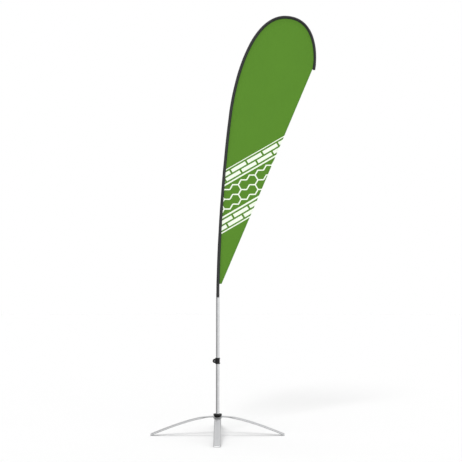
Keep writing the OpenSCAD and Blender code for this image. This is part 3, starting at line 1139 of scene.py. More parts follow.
@dataclass
class CrossBase:
    """The folding cross base: two arched bars with pressed seats, and four plastic feet.

    Args:
        half_w: Half a leg's width.
        half_t: Half a leg's thickness.
        hub_half_w: Half a bar's width at the hub.
        hub_half_t: Half a bar's thickness at the hub.
        seat_r: Radius of the round seat.
        dish_r: Radius where the ramp round the seat ends.
        rise: Height of that ramp.
        slope: Slope of a leg at its foot, in degrees.
        reach: Reach of a leg with its foot piece.
        end: Reach of a leg's bare tube.
        foot_lift: Height of the tube's lowest edge above the floor.
        wall: Wall of the tube.
        recess: Depth of the tube's mouth that is modelled.
        sole: Length of the sole behind the tube's end.
        bore_r: Radius of the hole in a seat.
        widening: Distances from the hub where a leg starts and stops widening.
        straight: Length of the straight stretch at a leg's end.
        pulls: How far the arch's inner control points lie from its hub end and its foot end.
    """

    half_w: float = 0.020
    half_t: float = 0.005
    hub_half_w: float = 0.018
    hub_half_t: float = 0.003
    seat_r: float = 0.024
    dish_r: float = 0.031
    rise: float = 0.007
    slope: float = 22.0
    reach: float = 0.4188
    end: float = 0.416
    foot_lift: float = 1.6 * MM
    wall: float = 2.0 * MM
    recess: float = 6.0 * MM
    sole: float = 10.0 * MM
    bore_r: float = 5.05 * MM
    widening: tuple[float, float] = (0.062, 0.115)
    straight: float = 14.0 * MM
    pulls: tuple[float, float] = (0.060, 0.220)

    def foot(self) -> tuple[np.ndarray, np.ndarray, np.ndarray]:
        """Middle of a leg's end, and its directions outwards and up, as (out, Z)."""
        a = math.radians(self.slope)
        middle = np.array([self.end, self.half_t * math.cos(a) + self.foot_lift])
        return middle, np.array([math.cos(a), -math.sin(a)]), np.array([math.sin(a), math.cos(a)])

    def arch(self, level: float, count: int) -> tuple[np.ndarray, np.ndarray]:
        """A leg's middle line from the ramp to its end.

        A cubic with level and foot-sloped ends, and a short straight stretch after it.

        Args:
            level: Height of the middle line at the hub.
            count: Number of stations.

        Returns:
            The points and the unit upward normals, as (out, Z).
        """
        middle, ahead, up = self.foot()
        last = middle - self.straight * ahead
        first = np.array([self.dish_r, level])
        share = np.linspace(0, 1, count)[:, None]
        hub_pull, foot_pull = self.pulls
        point, way = cubic(share, first, first + [hub_pull, 0], last - foot_pull * ahead, last)
        normal = np.stack([-way[:, 1], way[:, 0]], 1)
        return np.concatenate([point, middle[None]]), np.concatenate([normal, up[None]])

    def bar(self, name: str, seat: float, along_y: bool) -> bpy.types.Object:
        """One crossbar, a flat tube carried along its arch and pressed into a seat at the hub.

        Args:
            name: Name of the piece.
            seat: Height of the seat's underside.
            along_y: Whether the bar runs front to back.

        Returns:
            The object.
        """
        point, normal = self.arch(seat + self.rise + self.hub_half_t, 110)
        hub_x = np.linspace(0, self.dish_r, 34)[:-1]
        x = np.concatenate([hub_x, point[:, 0]])
        z = np.concatenate([np.full(len(hub_x), point[0, 1]), point[:, 1]])
        lean = np.concatenate([np.tile([0.0, 1.0], (len(hub_x), 1)), normal])
        x = np.concatenate([-x[:0:-1], x])
        z = np.concatenate([z[:0:-1], z])
        lean = np.concatenate([lean[:0:-1] * [-1, 1], lean])
        far = np.abs(x)
        full = smoothstep(far, *self.widening)
        width = self.hub_half_w + full * (self.half_w - self.hub_half_w)
        disc = np.sqrt(np.clip(self.seat_r**2 - far**2, 0, None))
        width = np.maximum(width, disc)
        thick = self.hub_half_t + full * (self.half_t - self.hub_half_t)
        section = rounded_section(width, thick, thick * 0.8, across=22)
        y, up = section[..., 0], section[..., 1]
        radius = np.hypot(x[:, None], y)
        ramp = smoothstep(radius, self.seat_r - 0.6 * MM, self.dish_r + 0.6 * MM) - 1
        press = np.where(far[:, None] <= self.dish_r + MM, ramp * self.rise, 0)
        across, height = x[:, None] + up * lean[:, :1], z[:, None] + up * lean[:, 1:] + press
        grid = np.stack([across, y, height], 2)
        mouth = self.mouth()
        grid = np.concatenate([mouth[::-1] * [-1, 1, 1], grid, mouth])
        if along_y:
            grid = np.stack([-grid[..., 1], grid[..., 0], grid[..., 2]], 2)
        piece = surface(name, grid, capped=True)
        return drilled(piece, self.bore_r, seat - 4 * MM, seat + 12 * MM)

    def mouth(self) -> np.ndarray:
        """The tube's open end: a ring one wall inside its rim, and the same ring deeper in."""
        middle, ahead, up = self.foot()
        half = np.full(2, self.half_w - self.wall), np.full(2, self.half_t - self.wall)
        section = rounded_section(*half, np.full(2, self.half_t * 0.3), across=22)
        y, rise = section[..., 0], section[..., 1]
        deep = np.array([0, -self.recess])[:, None]
        out, height = (middle[k] + deep * ahead[k] + rise * up[k] for k in (0, 1))
        return np.stack([out, y, height], 2)

    def cap(self, name: str, turn: float) -> bpy.types.Object:
        """A foot piece: a head in the tube's mouth with a wedge-shaped sole under the tube.

        Its side view is one outline, carried across the leg; close to its two sides the outline
        shrinks by r - sqrt(r^2 - d^2), which rounds the edges.

        Args:
            name: Name of the piece.
            turn: Direction of the leg, in degrees from +X.

        Returns:
            The object.
        """
        middle, ahead, up = self.foot()
        over = (self.reach - self.end) * ahead
        inner, heel, gap = self.half_t - self.wall, self.end - self.sole, 0.05 * MM
        under = middle - (self.half_t + gap) * up
        back = under + (heel - under[0]) / ahead[0] * ahead
        outline = eased([
            (np.array([heel, 0.0]), 0.8 * MM), (np.array([self.reach, 0.0]), 0.8 * MM),
            (middle + over + inner * up, 1.2 * MM), (middle + gap * ahead + inner * up, 0.9 * MM),
            (under + gap * ahead, 0.1 * MM), (back, 0.8 * MM),
        ])
        ahead_of = np.roll(outline, -1, 0) - np.roll(outline, 1, 0)
        inside = unit(np.stack([-ahead_of[:, 1], ahead_of[:, 0]], 1))
        half, r = self.half_w - self.wall, 0.4 * MM
        bend = np.radians(np.linspace(90, 0, 7))
        y = half - r + r * np.sin(bend)
        shrink = r * (1 - np.cos(bend))
        y = np.concatenate([-y, y[::-1]])
        shrink = np.concatenate([shrink, shrink[::-1]])
        side = outline + shrink[:, None, None] * inside
        a = math.radians(turn)
        x, y = side[..., 0], y[:, None] * np.ones(len(outline))
        turned_x = x * math.cos(a) - y * math.sin(a)
        turned_y = x * math.sin(a) + y * math.cos(a)
        grid = np.stack([turned_x, turned_y, side[..., 1]], 2)
        return surface(name, grid, capped=True, crease=50)

    def build(self) -> None:
        """Makes both bars and the four foot pieces."""
        low, high = (corner.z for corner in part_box("bar_washer"))
        lower = self.bar("crossbar_front_back", low - 2 * self.hub_half_t, True)
        settle(lower, Body.BASE, BAR_COAT, "lower_crossbar")
        upper = self.bar("crossbar_left_right", high, False)
        settle(upper, Body.CROSS_ARM, BAR_COAT, "upper_crossbar")
        for side, turn, body in (
            ("right", 0, Body.CROSS_ARM), ("back", 90, Body.BASE),
            ("left", 180, Body.CROSS_ARM), ("front", 270, Body.BASE),
        ):
            settle(self.cap(f"foot_piece_{side}", turn), body, CAP_PLASTIC, f"foot_cap_{side}")


def drilled(piece: bpy.types.Object, radius: float, low: float, high: float) -> bpy.types.Object:
    """Cuts a round hole down the upright axis and keeps the result as the piece's mesh.

    Args:
        piece: The piece.
        radius: Radius of the hole.
        low: Where the cutter starts.
        high: Where it ends.

    Returns:
        The same piece.
    """
    sides, core = 64, 0.4 * MM
    a = np.linspace(0, 2 * np.pi, sides, endpoint=False)
    r, z = np.array([[core, low], [radius, low], [radius, high], [core, high]]).T[:, :, None]
    grid = np.stack([r * np.cos(a), r * np.sin(a), z * np.ones(sides)], 2)
    cutter = surface("cutter", grid, capped=True)
    cut = piece.modifiers.new("bore", "BOOLEAN")
    cut.operation, cut.object, cut.solver = "DIFFERENCE", cutter, "EXACT"
    bpy.context.view_layer.update()
    graph = bpy.context.evaluated_depsgraph_get()
    done = bpy.data.meshes.new_from_object(piece.evaluated_get(graph))
    piece.modifiers.remove(cut)
    piece.data = done
    done.polygons.foreach_set("use_smooth", np.ones(len(done.polygons), bool))
    done.set_sharp_from_angle(angle=math.radians(40))
    bpy.data.objects.remove(cutter)
    return piece


@dataclass
class Socket:
    """The turning socket: a bowl-shaped collar round the bearing, and the hub's small hardware.

    Args:
        foot_r: Radius of the bowl at its foot.
        lip: Rounding of the bowl's rim.
    """

    foot_r: float = 0.016
    lip: float = 1.0 * MM

    def collar(self) -> bpy.types.Object:
        """The bowl: an ellipse's quarter outside, a stepped bore inside.

        Outside, r = foot + (wide - foot) sin a and z = rim - height cos a for a from 0 to 90.

        Returns:
            The object.
        """
        low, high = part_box("collar")
        wide, top, foot = high.x, high.z, low.z
        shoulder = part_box("spigot")[0].z + 2.4 * MM
        pole_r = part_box("pole_tube")[1].x + 0.35 * MM
        bearing_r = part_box("bearing_outer")[1].x + 0.02 * MM
        a = np.linspace(0, np.pi / 2, 22)
        rim, ease = top - 2 * MM, 0.3 * MM
        out = self.foot_r + (wide - self.foot_r) * np.sin(a)
        bowl = np.stack([out, rim - (rim - foot - 0.4 * MM) * np.cos(a)], 1)
        outline = np.concatenate([
            [[bearing_r, foot + ease], [bearing_r + ease, foot]],
            [[self.foot_r - 0.4 * MM, foot]],
            bowl,
            quarter((wide - self.lip, top - self.lip), self.lip, 0, 90),
            quarter((pole_r + 0.6 * MM, top - 0.6 * MM), 0.6 * MM, 90, 180),
            [[pole_r, shoulder], [bearing_r, shoulder]],
        ])
        return turned("socket_bowl", outline)

    def build(self) -> None:
        """Makes the bowl, rounds the nut's edges and dresses the hardware."""
        settle(self.collar(), Body.SOCKET, BLACK_PLASTIC, "collar")
        settle(softened("spindle_nut", "hub_nut", 0.5 * MM), Body.BASE, ZINC, "spindle_nut")
        for node, finish in (
            ("bar_washer", BLACK_PLASTIC), ("spindle", ZINC), ("spring_washer", ZINC),
            ("spindle_clip", ZINC), ("bearing_inner", ZINC), ("bearing_balls", ZINC),
            ("bearing_outer", ZINC), ("collar_clip", ZINC), ("spigot", ZINC),
            ("spigot_bush", NYLON),
        ):
            dress(FRAME_NODES[node], finish)
            LOG.info("%s: dressed as %s", node, finish.name)


@dataclass
class LowerPole:
    """The straight aluminium tube, the plug in its top and the clip that slides on it.

    Args:
        wall: Wall of the tube.
        chamfer: Rounding of the tube's ends.
    """

    wall: float = 1.5 * MM
    chamfer: float = 0.4 * MM

    def tube(self) -> bpy.types.Object:
        """The tube, with both ends rounded and a stack of rings that keeps its sides even."""
        low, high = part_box("pole_tube")
        out, c = high.x, self.chamfer
        bore = out - self.wall
        rise = np.linspace(low.z + 2 * c, high.z - 2 * c, 40)
        outline = np.concatenate([
            quarter((out - c, low.z + c), c, -90, 0, 4),
            np.stack([np.full_like(rise, out), rise], 1),
            quarter((out - c, high.z - c), c, 0, 90, 4),
            quarter((bore + c, high.z - c), c, 90, 180, 4),
            np.stack([np.full_like(rise, bore), rise[::-1]], 1),
            quarter((bore + c, low.z + c), c, 180, 270, 4),
        ])
        return turned("lower_pole_tube", outline, 80)

    def build(self) -> None:
        """Makes the tube and the clip, and dresses the plug."""
        settle(self.tube(), Body.LOWER_POLE, TUBE_METAL, "pole_tube")
        dress(FRAME_NODES["tube_bush"], BLACK_PLASTIC)
        for node, name, edge, body, finish in (
            ("clip_collar", "clip_shell", 0.8 * MM, Body.CLIP, BLACK_PLASTIC),
            ("clip_nut", "clip_hex_nut", 0.3 * MM, Body.CLIP, ZINC),
            ("clip_screw", "clip_pan_screw", 0.35 * MM, Body.BOLT, DARK_ZINC),
        ):
            settle(softened(node, name, edge), body, finish, node)


@dataclass
class Rods:
    """Three tapering glass-fibre rods and the ferrules that join them.

    Args:
        curve: The rods' middle line.
        foot_r: Radius at the foot.
        tip_r: Radius at the tip.
        joints: Where the rods meet, as t along the line.
        tip_t: Where the last rod ends, as t along the line.
        sides: Number of points round a rod.
    """

    curve: PoleCurve
    foot_r: float = 0.008
    tip_r: float = 0.0035
    joints: tuple[float, float] = (13 / 16, 30 / 16)
    tip_t: float = 47 / 16
    sides: int = 28

    def radius(self, t: np.ndarray) -> np.ndarray:
        """Radius of the rod at each t, tapering evenly."""
        return self.foot_r + (self.tip_r - self.foot_r) * np.clip(t, 0, 3) / 3

    def bar(self, name: str, start: float, end: float, stub: float) -> bpy.types.Object:
        """A round bar along the line, with its ends eased.

        Ring (i, j) is the line's point plus r cos a towards the flag and r sin a across.

        Args:
            name: Name of the piece.
            start: First t.
            end: Last t.
            stub: Length of a straight stretch below the first point.

        Returns:
            The object.
        """
        t = self.curve.even(start, end, max(12, int((end - start) * 60)))
        point, _, inward = self.curve.at(t)
        radius = self.radius(t)
        if stub:
            steps = np.linspace(stub, 0, 20)[:-1, None]
            point = np.concatenate([point[0] - steps * [0, 1], point])
            inward = np.concatenate([np.tile([1.0, 0.0], (len(steps), 1)), inward])
            radius = np.concatenate([np.full(len(steps), radius[0]), radius])
        radius[[0, -1]] *= 0.94
        a = np.linspace(0, 2 * np.pi, self.sides, endpoint=False)
        xz = point[:, None] + (radius[:, None] * np.cos(a))[..., None] * inward[:, None]
        grid = in_plane(xz, radius[:, None] * np.sin(a))
        skin = unrolled(distance_along(point), self.foot_r, self.sides)
        return surface(name, grid, capped=True, maps={"skin": skin})

    def build(self) -> None:
        """Makes the three rods and dresses the ferrules and the tip cap."""
        stub = self.curve.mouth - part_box("rod_lower")[0].z
        low, high = self.joints
        for name, start, end, length in (
            ("rod_lower", 0.0, low, stub),
            ("rod_middle", low, high, 0.0),
            ("rod_tip", high, self.tip_t, 0.0),
        ):
            settle(self.bar(f"fibre_{name}", start, end, length), Body.FLAG, ROD_RESIN, name)
        dress(FRAME_NODES["ferrule_lower"], ZINC)
        dress(FRAME_NODES["ferrule_upper"], ZINC)
        dress(FRAME_NODES["tip_cap"], RUBBER)


@dataclass
class Sleeve:
    """The fabric sleeve drawn over the rods, pinched to a sewn seam along the flag.

    Args:
        curve: The rods' middle line.
        foot_r: Radius of the sleeve at its mouth.
        end_r: Radius at its closed end.
        wall: Thickness of the fabric.
        pinch: How far the section narrows towards the seam.
        pucker: Height of the gathers on the inside of the bend.
        sides: Number of points round the sleeve.
        end_t: Where the cup over the closed end starts, as t along the line.
        seam_t: Where the seam's stitches stop, as t along the line.
        cuff: Height of the cuff at the mouth.
    """

    curve: PoleCurve
    foot_r: float = 0.010
    end_r: float = 0.009
    wall: float = 0.7 * MM
    pinch: float = 0.62
    pucker: float = 0.45 * MM
    sides: int = 44
    end_t: float = 2.895
    seam_t: float = 2.88
    cuff: float = 25 * MM

    def radius(self, t: np.ndarray) -> np.ndarray:
        """Radius of the sleeve at each t."""
        return self.foot_r + (self.end_r - self.foot_r) * t / 3

    def ring(self, t: np.ndarray, a: np.ndarray, shrink: float, grow: float = 0.0) -> np.ndarray:
        """Points of the sleeve at each t and each angle from the seam.

        The section is a circle whose height is cut by pinch times the square of the cosine on
        the seam's side, which draws it to a narrow edge. Gathers are sines along the sleeve,
        strongest on the inside of the tightest bend.

        Args:
            t: Places along the line.
            a: Angles from the direction of the flag.
            shrink: How far inside the outer skin.
            grow: How far outside it.

        Returns:
            A grid of points.
        """
        point, ahead, inward = self.curve.at(t)
        run = self.curve.run(t)
        heading = np.unwrap(np.arctan2(ahead[:, 0], ahead[:, 1]))
        turn = np.gradient(heading, run + np.arange(len(t)) * 1e-9)
        tight = np.clip(turn / 6.0, 0.08, 1.0)[:, None]
        s = run[:, None]
        ripple = np.sin(s * 2 * np.pi / 0.031 + 1.4 * np.sin(s * 9))
        ripple = ripple + 0.6 * np.sin(s * 2 * np.pi / 0.0173 + 2 * a)
        inner = np.clip(np.cos(a), 0, 1) ** 2
        loose = self.pucker * tight * ripple * (0.2 + 0.8 * inner)
        slack = 0.18 * MM * np.sin(s * 2 * np.pi / 0.24 + 2 * a) + 0.1 * MM * np.sin(s * 51 - 3 * a)
        radius = self.radius(t)[:, None] - shrink + grow + (slack - 0.28 * MM)
        radius = radius + loose * np.abs(np.sin(a))
        flat = 1 - self.pinch * inner
        xz = point[:, None] + (radius * np.cos(a))[..., None] * inward[:, None]
        return in_plane(xz, radius * np.sin(a) * flat + 0.5 * loose * inner)

    def skin(self, t: np.ndarray) -> np.ndarray:
        """Places on the unrolled sleeve for a shell that goes up outside and back inside."""
        run = self.curve.run(t)
        run = np.concatenate([run, run[::-1], run[:1]])
        return unrolled(run, self.foot_r, self.sides)

    def tube(
        self, name: str, start: float, end: float, rings: int, grow: float, wall: float
    ) -> bpy.types.Object:
        """A length of sleeve: its outside up to the end, then its inside back to the start.

        Args:
            name: Name of the piece.
            start: First t.
            end: Last t.
            rings: Number of rings.
            grow: How far outside the sleeve's own skin.
            wall: Thickness.

        Returns:
            The object.
        """
        t = self.curve.even(start, end, rings)
        a = np.linspace(0, 2 * np.pi, self.sides, endpoint=False)
        grid = np.concatenate([self.ring(t, a, 0, grow), self.ring(t, a, wall, grow)[::-1]])
        return surface(name, grid, wrap_rows=True, maps={"skin": self.skin(t)}, crease=60)

    def closed_end(self) -> bpy.types.Object:
        """The reinforced end: a cup over the last of the sleeve, rounded over the rod's tip."""
        t = self.curve.even(self.end_t, 3.0, 16)
        a = np.linspace(0, 2 * np.pi, self.sides, endpoint=False)
        outer = self.ring(t, a, 0, 0.5 * MM)
        inner = self.ring(t, a, 0.3 * MM, 0)[::-1]
        point, ahead, _ = self.curve.at(np.array([3.0]))
        middle = in_plane(point, np.zeros(1))[0]
        way = in_plane(ahead, np.zeros(1))[0]
        bend = np.linspace(0, np.pi / 2, 7)[1:, None, None]
        dome = middle + (outer[-1] - middle) * np.cos(bend * 0.92) + 3.0 * MM * np.sin(bend) * way
        grid = np.concatenate([inner, outer, dome])
        skin = unrolled(distance_along(grid[:, 0]), self.end_r, self.sides)
        return surface("sleeve_end_cup", grid, capped=True, maps={"skin": skin}, crease=60)

    def seam(self, start: float) -> list[bpy.types.Object]:
        """Two rows of stitches, one on each face, just behind the seam's edge."""
        rows = []
        length = self.curve.run(self.curve.even(start, self.seam_t, 400))[-1]
        t = self.curve.even(start, self.seam_t, int(length / STITCH_PITCH))
        _, ahead, inward = self.curve.at(t)
        for name, side in (("front", -1.0), ("back", 1.0)):
            a = np.array([side * math.radians(27)])
            off = in_plane(inward, np.zeros(len(t))) * 0.38 + [0.0, side * 0.92, 0.0]
            off = unit(off)
            places = self.ring(t, a, 0)[:, 0] + off * 0.05 * MM
            way = in_plane(ahead, np.zeros(len(t)))
            rows.append(
                stitches(f"seam_thread_{name}", places, way, off, STITCH_LENGTH, 0.28 * MM)
            )
        return rows

    def build(self, flag_foot: float) -> bpy.types.Object:
        """Makes the sleeve, its mouth, its closed end and its seam.

        Args:
            flag_foot: Where the flag's cloth begins, as t.

        Returns:
            The sleeve.
        """
        tube = self.tube("pole_sleeve_fabric", 0.0, 3.0, 520, 0.0, self.wall)
        settle(tube, Body.FLAG, SLEEVE_CLOTH, "pole_sleeve")
        cuff_top = self.cuff / (3 * self.curve.pulls[0])
        cuff = self.tube("sleeve_mouth_cuff", 0.0, cuff_top, 14, 0.5 * MM, 0.6 * MM)
        settle(cuff, Body.FLAG, SLEEVE_CLOTH, "sleeve_cuff")
        end = settle(self.closed_end(), Body.FLAG, SLEEVE_CLOTH, "sleeve_end")
        threads = [settle(row, Body.FLAG, DARK_THREAD) for row in self.seam(flag_foot)]
        length = float(self.curve.run(self.curve.even(0, 3, 600))[-1])
        LOG.info("sleeve: cut %.3f by %.3f m", 2 * math.pi * self.foot_r, length)
        return tube


@dataclass
class Flag:
    """The cloth: its curved side is sewn to the sleeve and its slanted side is free.

    Args:
        curve: The rods' middle line.
        sleeve: The sleeve it is sewn to.
        foot_z: Height of the level cut at its foot.
        corner_x: Distance from the pole's axis to its foot corner.
        hem_w: Width of the hem.
        thick: Thickness of the cloth.
        tuck: How far the sewn side lies inside the sleeve's skin.
        stitch_in: How far the hem's stitches lie from its inner edge.
        rows: Number of rulings.
        cols: Number of points along a ruling.
    """

    curve: PoleCurve
    sleeve: Sleeve
    foot_z: float
    corner_x: float = 0.024
    hem_w: float = 0.010
    thick: float = 0.45 * MM
    tuck: float = 1.2 * MM
    stitch_in: float = 2.2 * MM
    rows: int = 420
    cols: int = 110
    foot_t: float = field(init=False)
    edge: np.ndarray = field(init=False)
    slant: np.ndarray = field(init=False)

    def __post_init__(self) -> None:
        """Works out the sewn side and the free side, with the same number of points on each."""
        t = np.linspace(0, 1, 4000)
        point, _, inward = self.curve.at(t)
        side = point + (self.sleeve.radius(t)[:, None]) * inward
        self.foot_t = float(np.interp(self.foot_z, side[:, 1], t))
        t = self.curve.even(self.foot_t, 3.0, self.rows)
        point, _, inward = self.curve.at(t)
        self.edge = point + (self.sleeve.radius(t) - self.tuck)[:, None] * inward
        share = np.linspace(0, 1, self.rows)[:, None]
        tip = point[-1] + self.sleeve.radius(t[-1:]) * inward[-1]
        self.slant = np.array([self.corner_x, self.foot_z]) * (1 - share) + tip * share

    def billow(self, a: np.ndarray, b: np.ndarray, flat: np.ndarray) -> np.ndarray:
        """How far the cloth stands off its plane.

        A shallow belly, long soft tension folds that run from the foot towards the crown, and
        short gathers along the seam that die out within a hand's width of it.

        Args:
            a: Share of the way along the sewn side.
            b: Share of the way from the sewn side to the free side.
            flat: Place on the flat cloth.

        Returns:
            The distance along Y.
        """
        x, z = flat[..., 0], flat[..., 1]
        ends = np.sin(np.pi * np.clip(a, 0, 1)) ** 0.7
        belly = 5.0 * MM * np.sin(np.pi * np.clip(a, 0, 1)) * (1 - np.cos(np.pi * b)) / 2
        across = x * 0.921 - z * 0.389
        folds = 1.5 * MM * np.sin(across * 2 * np.pi / 0.155 + 0.5 * np.sin(z * 4.1))
        folds = folds * ends * smoothstep(b, 0.02, 0.5)
        gather = np.sin(a * 2 * np.pi * 47 + 2.2 * np.sin(a * 23))
        gather = gather + 0.5 * np.sin(a * 2 * np.pi * 83)
        gather = 0.55 * MM * gather * ends * smoothstep(b, 0.0, 0.03) * np.exp(-b / 0.1)
        return belly + folds + gather

    def cloth(self) -> bpy.types.Object:
        """The cloth: straight rulings from the sewn side to the free side, with the billow."""
        a = np.linspace(0, 1, self.rows)[:, None] * np.ones(self.cols)
        b = np.ones((self.rows, 1)) * np.linspace(0, 1, self.cols)
        _, inward = self.free_side()
        end = self.slant + 1.0 * MM * inward
        flat = self.edge[:, None] * (1 - b[..., None]) + end[:, None] * b[..., None]
        grid = in_plane(flat, self.billow(a, b, flat))
        away = b * np.linalg.norm(end - self.edge, axis=1)[:, None]
        maps = {"flat": flat, "edge": np.stack([a, away], 2)}
        piece = surface("flag_cloth_sheet", grid, wrap_cols=False, maps=maps, crease=60)
        wall = piece.modifiers.new("thickness", "SOLIDIFY")
        wall.thickness, wall.offset = self.thick, 0.0
        return piece

    def free_side(self) -> tuple[np.ndarray, np.ndarray]:
        """Unit directions along the free side and from it towards the sewn side, as (X, Z)."""
        way = unit(self.slant[-1] - self.slant[0])
        return way, np.array([-way[1], way[0]])

    def part_way(self, side: np.ndarray, share: np.ndarray) -> np.ndarray:
        """Points at shares of one side, between that side's own points."""
        own = np.linspace(0, 1, self.rows)
        return np.stack([np.interp(share, own, side[:, k]) for k in (0, 1)], 1)

    def hem(self) -> bpy.types.Object:
        """The hem: a flat fold along the free side that closes round the cloth's cut edge.

        Its section is a long oval, hem_w wide, that follows the cloth's billow.

        Returns:
            The object.
        """
        share = np.linspace(0, 1, 360)
        rail, side = self.part_way(self.slant, share), self.part_way(self.edge, share)
        _, inward = self.free_side()
        room = np.clip(((side - rail) @ inward), 1.2 * MM, None)
        width = np.minimum(self.hem_w, room * 0.96)
        half_t, corner_r = np.full_like(share, 0.55 * MM), np.full_like(share, 0.5 * MM)
        section = rounded_section(width / 2, half_t, corner_r, 4, 8)
        off = width[:, None] / 2 + section[..., 0]
        flat = rail[:, None] + off[..., None] * inward
        b = 1 - off / np.maximum(np.linalg.norm(side - rail, axis=1), 1 * MM)[:, None]
        a = share[:, None] * np.ones_like(b)
        lift = self.billow(a, np.clip(b, 0, 1), flat)
        ripple = 0.12 * MM * np.sin(share * 2 * np.pi * 170)[:, None]
        grid = in_plane(flat, lift + section[..., 1] + ripple)
        closed = np.concatenate([flat, flat[:, :1]], 1)
        far = np.full(closed.shape, 0.05)
        maps = {"flat": closed, "edge": far}
        return surface("flag_hem_fold", grid, capped=True, maps=maps, crease=70)

    def hem_stitches(self) -> list[bpy.types.Object]:
        """Two rows of stitches along the hem's inner edge, one on each face."""
        count = int(np.linalg.norm(self.slant[-1] - self.slant[0]) / STITCH_PITCH)
        share = np.linspace(0.012, 0.975, count)
        rail, side = self.part_way(self.slant, share), self.part_way(self.edge, share)
        way, inward = self.free_side()
        inset = self.hem_w - self.stitch_in
        flat = rail + inset * inward
        b = 1 - inset / np.maximum(np.linalg.norm(side - rail, axis=1), 1 * MM)
        lift = self.billow(share, np.clip(b, 0, 1), flat)
        ahead = np.tile(in_plane(way[None], np.zeros(1)), (count, 1))
        rows = []
        for name, face in (("front", -1.0), ("back", 1.0)):
            out = np.tile([0.0, face, 0.0], (count, 1))
            places = in_plane(flat, lift + face * 0.6 * MM)
            rows.append(
                stitches(f"hem_thread_{name}", places, ahead, out, STITCH_LENGTH, 0.24 * MM)
            )
        return rows

    def area(self) -> float:
        """Area of the flat cut: the outline's area by the sum of cross products."""
        ring = np.concatenate([self.edge, self.slant[::-1]])
        x, z = ring[:, 0], ring[:, 1]
        return float(abs(np.sum(x * np.roll(z, -1) - z * np.roll(x, -1))) / 2)

    def build(self) -> None:
        """Makes the cloth and its hem, and says what size it was cut to."""
        cloth = settle(self.cloth(), Body.FLAG, FLAG_CLOTH, "flag_cloth")
        hem = settle(self.hem(), Body.FLAG, HEM_CLOTH, "flag_hem")
        threads = [settle(row, Body.FLAG, GREEN_THREAD) for row in self.hem_stitches()]
        span = self.edge.max(0) - np.array([self.edge[:, 0].min(), self.foot_z])
        LOG.info("flag: cut %.3f by %.3f m, %.3f m2", span[0], span[1], self.area())


# ---------------------------------------------------------------- the room


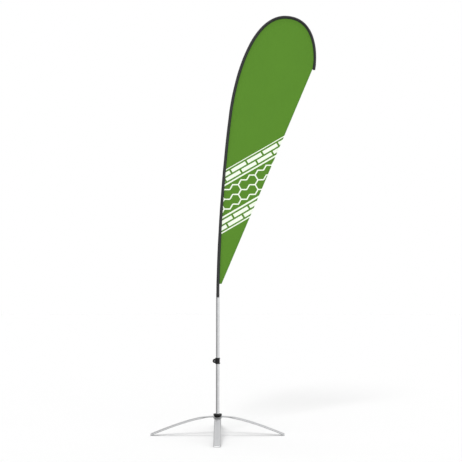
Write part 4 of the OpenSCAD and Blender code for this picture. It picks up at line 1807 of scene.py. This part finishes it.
@dataclass
class Studio:
    """A pale floor, soft light from the front left and overhead, the surround and the camera.

    Args:
        eye: Where the camera stands.
        pitch: How far it looks up, in degrees.
        yaw: How far it looks to the right, in degrees.
        lens: Focal length for a 36 mm frame.
        towards: Direction of the key light.
        key: Strength of the key light.
        softness: Angle that the key light spans, in degrees.
        top: Strength of the light overhead.
        top_softness: Angle that the light overhead spans, in degrees.
        bright_side: Direction of the surround's brightest part.
        dark: Strength of the surround on its darkest side.
        light: Strength of the surround on its brightest side.
        sheen: How many times brighter it shows in reflections.
    """

    eye: tuple[float, float, float] = (0.0455, -4.998, 0.8178)
    pitch: float = 5.3196
    yaw: float = 0.4385
    lens: float = 61.09
    towards: tuple[float, float, float] = (-0.19, -0.68, 0.71)
    key: float = 0.98
    softness: float = 20.0
    top: float = 0.6
    top_softness: float = 32.0
    bright_side: tuple[float, float, float] = (0.8, -0.4, 0.6)
    dark: float = 0.22
    light: float = 0.85
    sheen: float = 1.55

    def camera(self) -> None:
        """Sets up the camera."""
        data = bpy.data.cameras.new("camera")
        data.lens, data.sensor_width = self.lens, 36.0
        data.clip_start, data.clip_end = 0.05, 100.0
        camera = bpy.data.objects.new("camera", data)
        camera.location = self.eye
        camera.rotation_euler = (math.radians(90 + self.pitch), 0.0, math.radians(-self.yaw))
        bpy.context.scene.collection.objects.link(camera)
        bpy.context.scene.camera = camera

    def ground(self) -> None:
        """A wide round floor, so pale that it runs into the surround at the horizon."""
        out = np.geomspace(0.0005, 60, 40)[:, None]
        a = np.linspace(0, 2 * np.pi, 96, endpoint=False)
        grid = np.stack([out * np.cos(a), out * np.sin(a), np.zeros((40, 96))], 2)
        floor = surface("studio_floor", grid)
        g = Graph("pale_floor")
        tone = g.noise(g.coords(Coords.OBJECT), 1.5, 2.0)
        paint = g.blend(tone, opaque((0.93, 0.93, 0.93)), opaque((0.935, 0.935, 0.935)))
        g.shade(Base_Color=paint, Roughness=1.0, Specular_IOR_Level=0.0)
        floor.data.materials.append(g.material)
        floor.visible_glossy = False
        floor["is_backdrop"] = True

    def lamp(
        self, name: str, towards: tuple[float, float, float], energy: float, spread: float
    ) -> None:
        """A large soft lamp far off.

        Args:
            name: The lamp's name.
            towards: Direction it stands in.
            energy: Its strength.
            spread: Angle that it spans, in degrees.
        """
        data = bpy.data.lights.new(name, "SUN")
        data.energy, data.angle = energy, math.radians(spread)
        lamp = bpy.data.objects.new(name, data)
        x, y, z = towards
        lamp.rotation_euler = (math.atan2(math.hypot(x, y), z), 0.0, math.atan2(y, x) + math.pi / 2)
        lamp.visible_glossy = False
        bpy.context.scene.collection.objects.link(lamp)

    def sky(self) -> None:
        """The surround.

        It is darker low down behind on the left and brighter in reflections. The camera sees
        it plain white.
        """
        world = bpy.data.worlds.new("studio")
        world.use_nodes = True
        tree = world.node_tree
        tree.nodes.clear()
        made = {k: tree.nodes.new(f"ShaderNode{k}") for k in (
            "OutputWorld", "Background", "LightPath", "TexCoord", "VectorMath", "MapRange",
            "Math", "Mix",
        )}
        slope, gain, pick, lean = made["MapRange"], made["Math"], made["Mix"], made["VectorMath"]
        boost = tree.nodes.new("ShaderNodeMath")
        gain.operation, boost.operation = "MULTIPLY", "MULTIPLY_ADD"
        boost.inputs[1].default_value, boost.inputs[2].default_value = self.sheen - 1, 1.0
        lean.operation = "DOT_PRODUCT"
        lean.inputs[1].default_value = self.bright_side
        for name, value in (
            ("From Min", -1.0), ("From Max", 1.0), ("To Min", self.dark), ("To Max", self.light),
        ):
            slope.inputs[name].default_value = value
        pick.inputs[3].default_value = 1.0
        for start, end in (
            (made["TexCoord"].outputs["Generated"], lean.inputs[0]),
            (lean.outputs["Value"], slope.inputs[0]),
            (made["LightPath"].outputs["Is Camera Ray"], pick.inputs[0]),
            (made["LightPath"].outputs["Is Glossy Ray"], boost.inputs[0]),
            (slope.outputs[0], gain.inputs[0]),
            (boost.outputs[0], gain.inputs[1]),
            (gain.outputs[0], pick.inputs[2]),
            (pick.outputs[0], made["Background"].inputs["Strength"]),
            (made["Background"].outputs[0], made["OutputWorld"].inputs[0]),
        ):
            tree.links.new(start, end)
        made["Background"].inputs["Color"].default_value = (1, 1, 1, 1)
        bpy.context.scene.world = world

    def build(self) -> None:
        """Sets up the camera, floor, light and surround."""
        self.camera()
        self.ground()
        self.lamp("key", self.towards, self.key, self.softness)
        self.lamp("overhead", (0.0, 0.0, 1.0), self.top, self.top_softness)
        self.sky()
        bpy.context.scene.view_settings.view_transform = "Standard"


def corners() -> list[list[float]]:
    """The shown object's lowest and highest corner as plain lists."""
    return [list(map(float, corner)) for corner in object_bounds()]


def main() -> None:
    """Builds the looks in order, from the floor up."""
    logging.basicConfig(level=logging.INFO, format="%(message)s")
    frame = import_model()
    FRAME_NODES.update(frame["nodes"])
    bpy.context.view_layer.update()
    Studio().build()
    CrossBase().build()
    Socket().build()
    LowerPole().build()
    curve = PoleCurve(mouth=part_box("pole_sleeve")[0].z)
    Rods(curve).build()
    sleeve = Sleeve(curve)
    flag = Flag(curve, sleeve, foot_z=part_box("flag_cloth")[0].z)
    sleeve.build(flag.foot_t)
    flag.build()


if __name__ == "__main__":
    main()
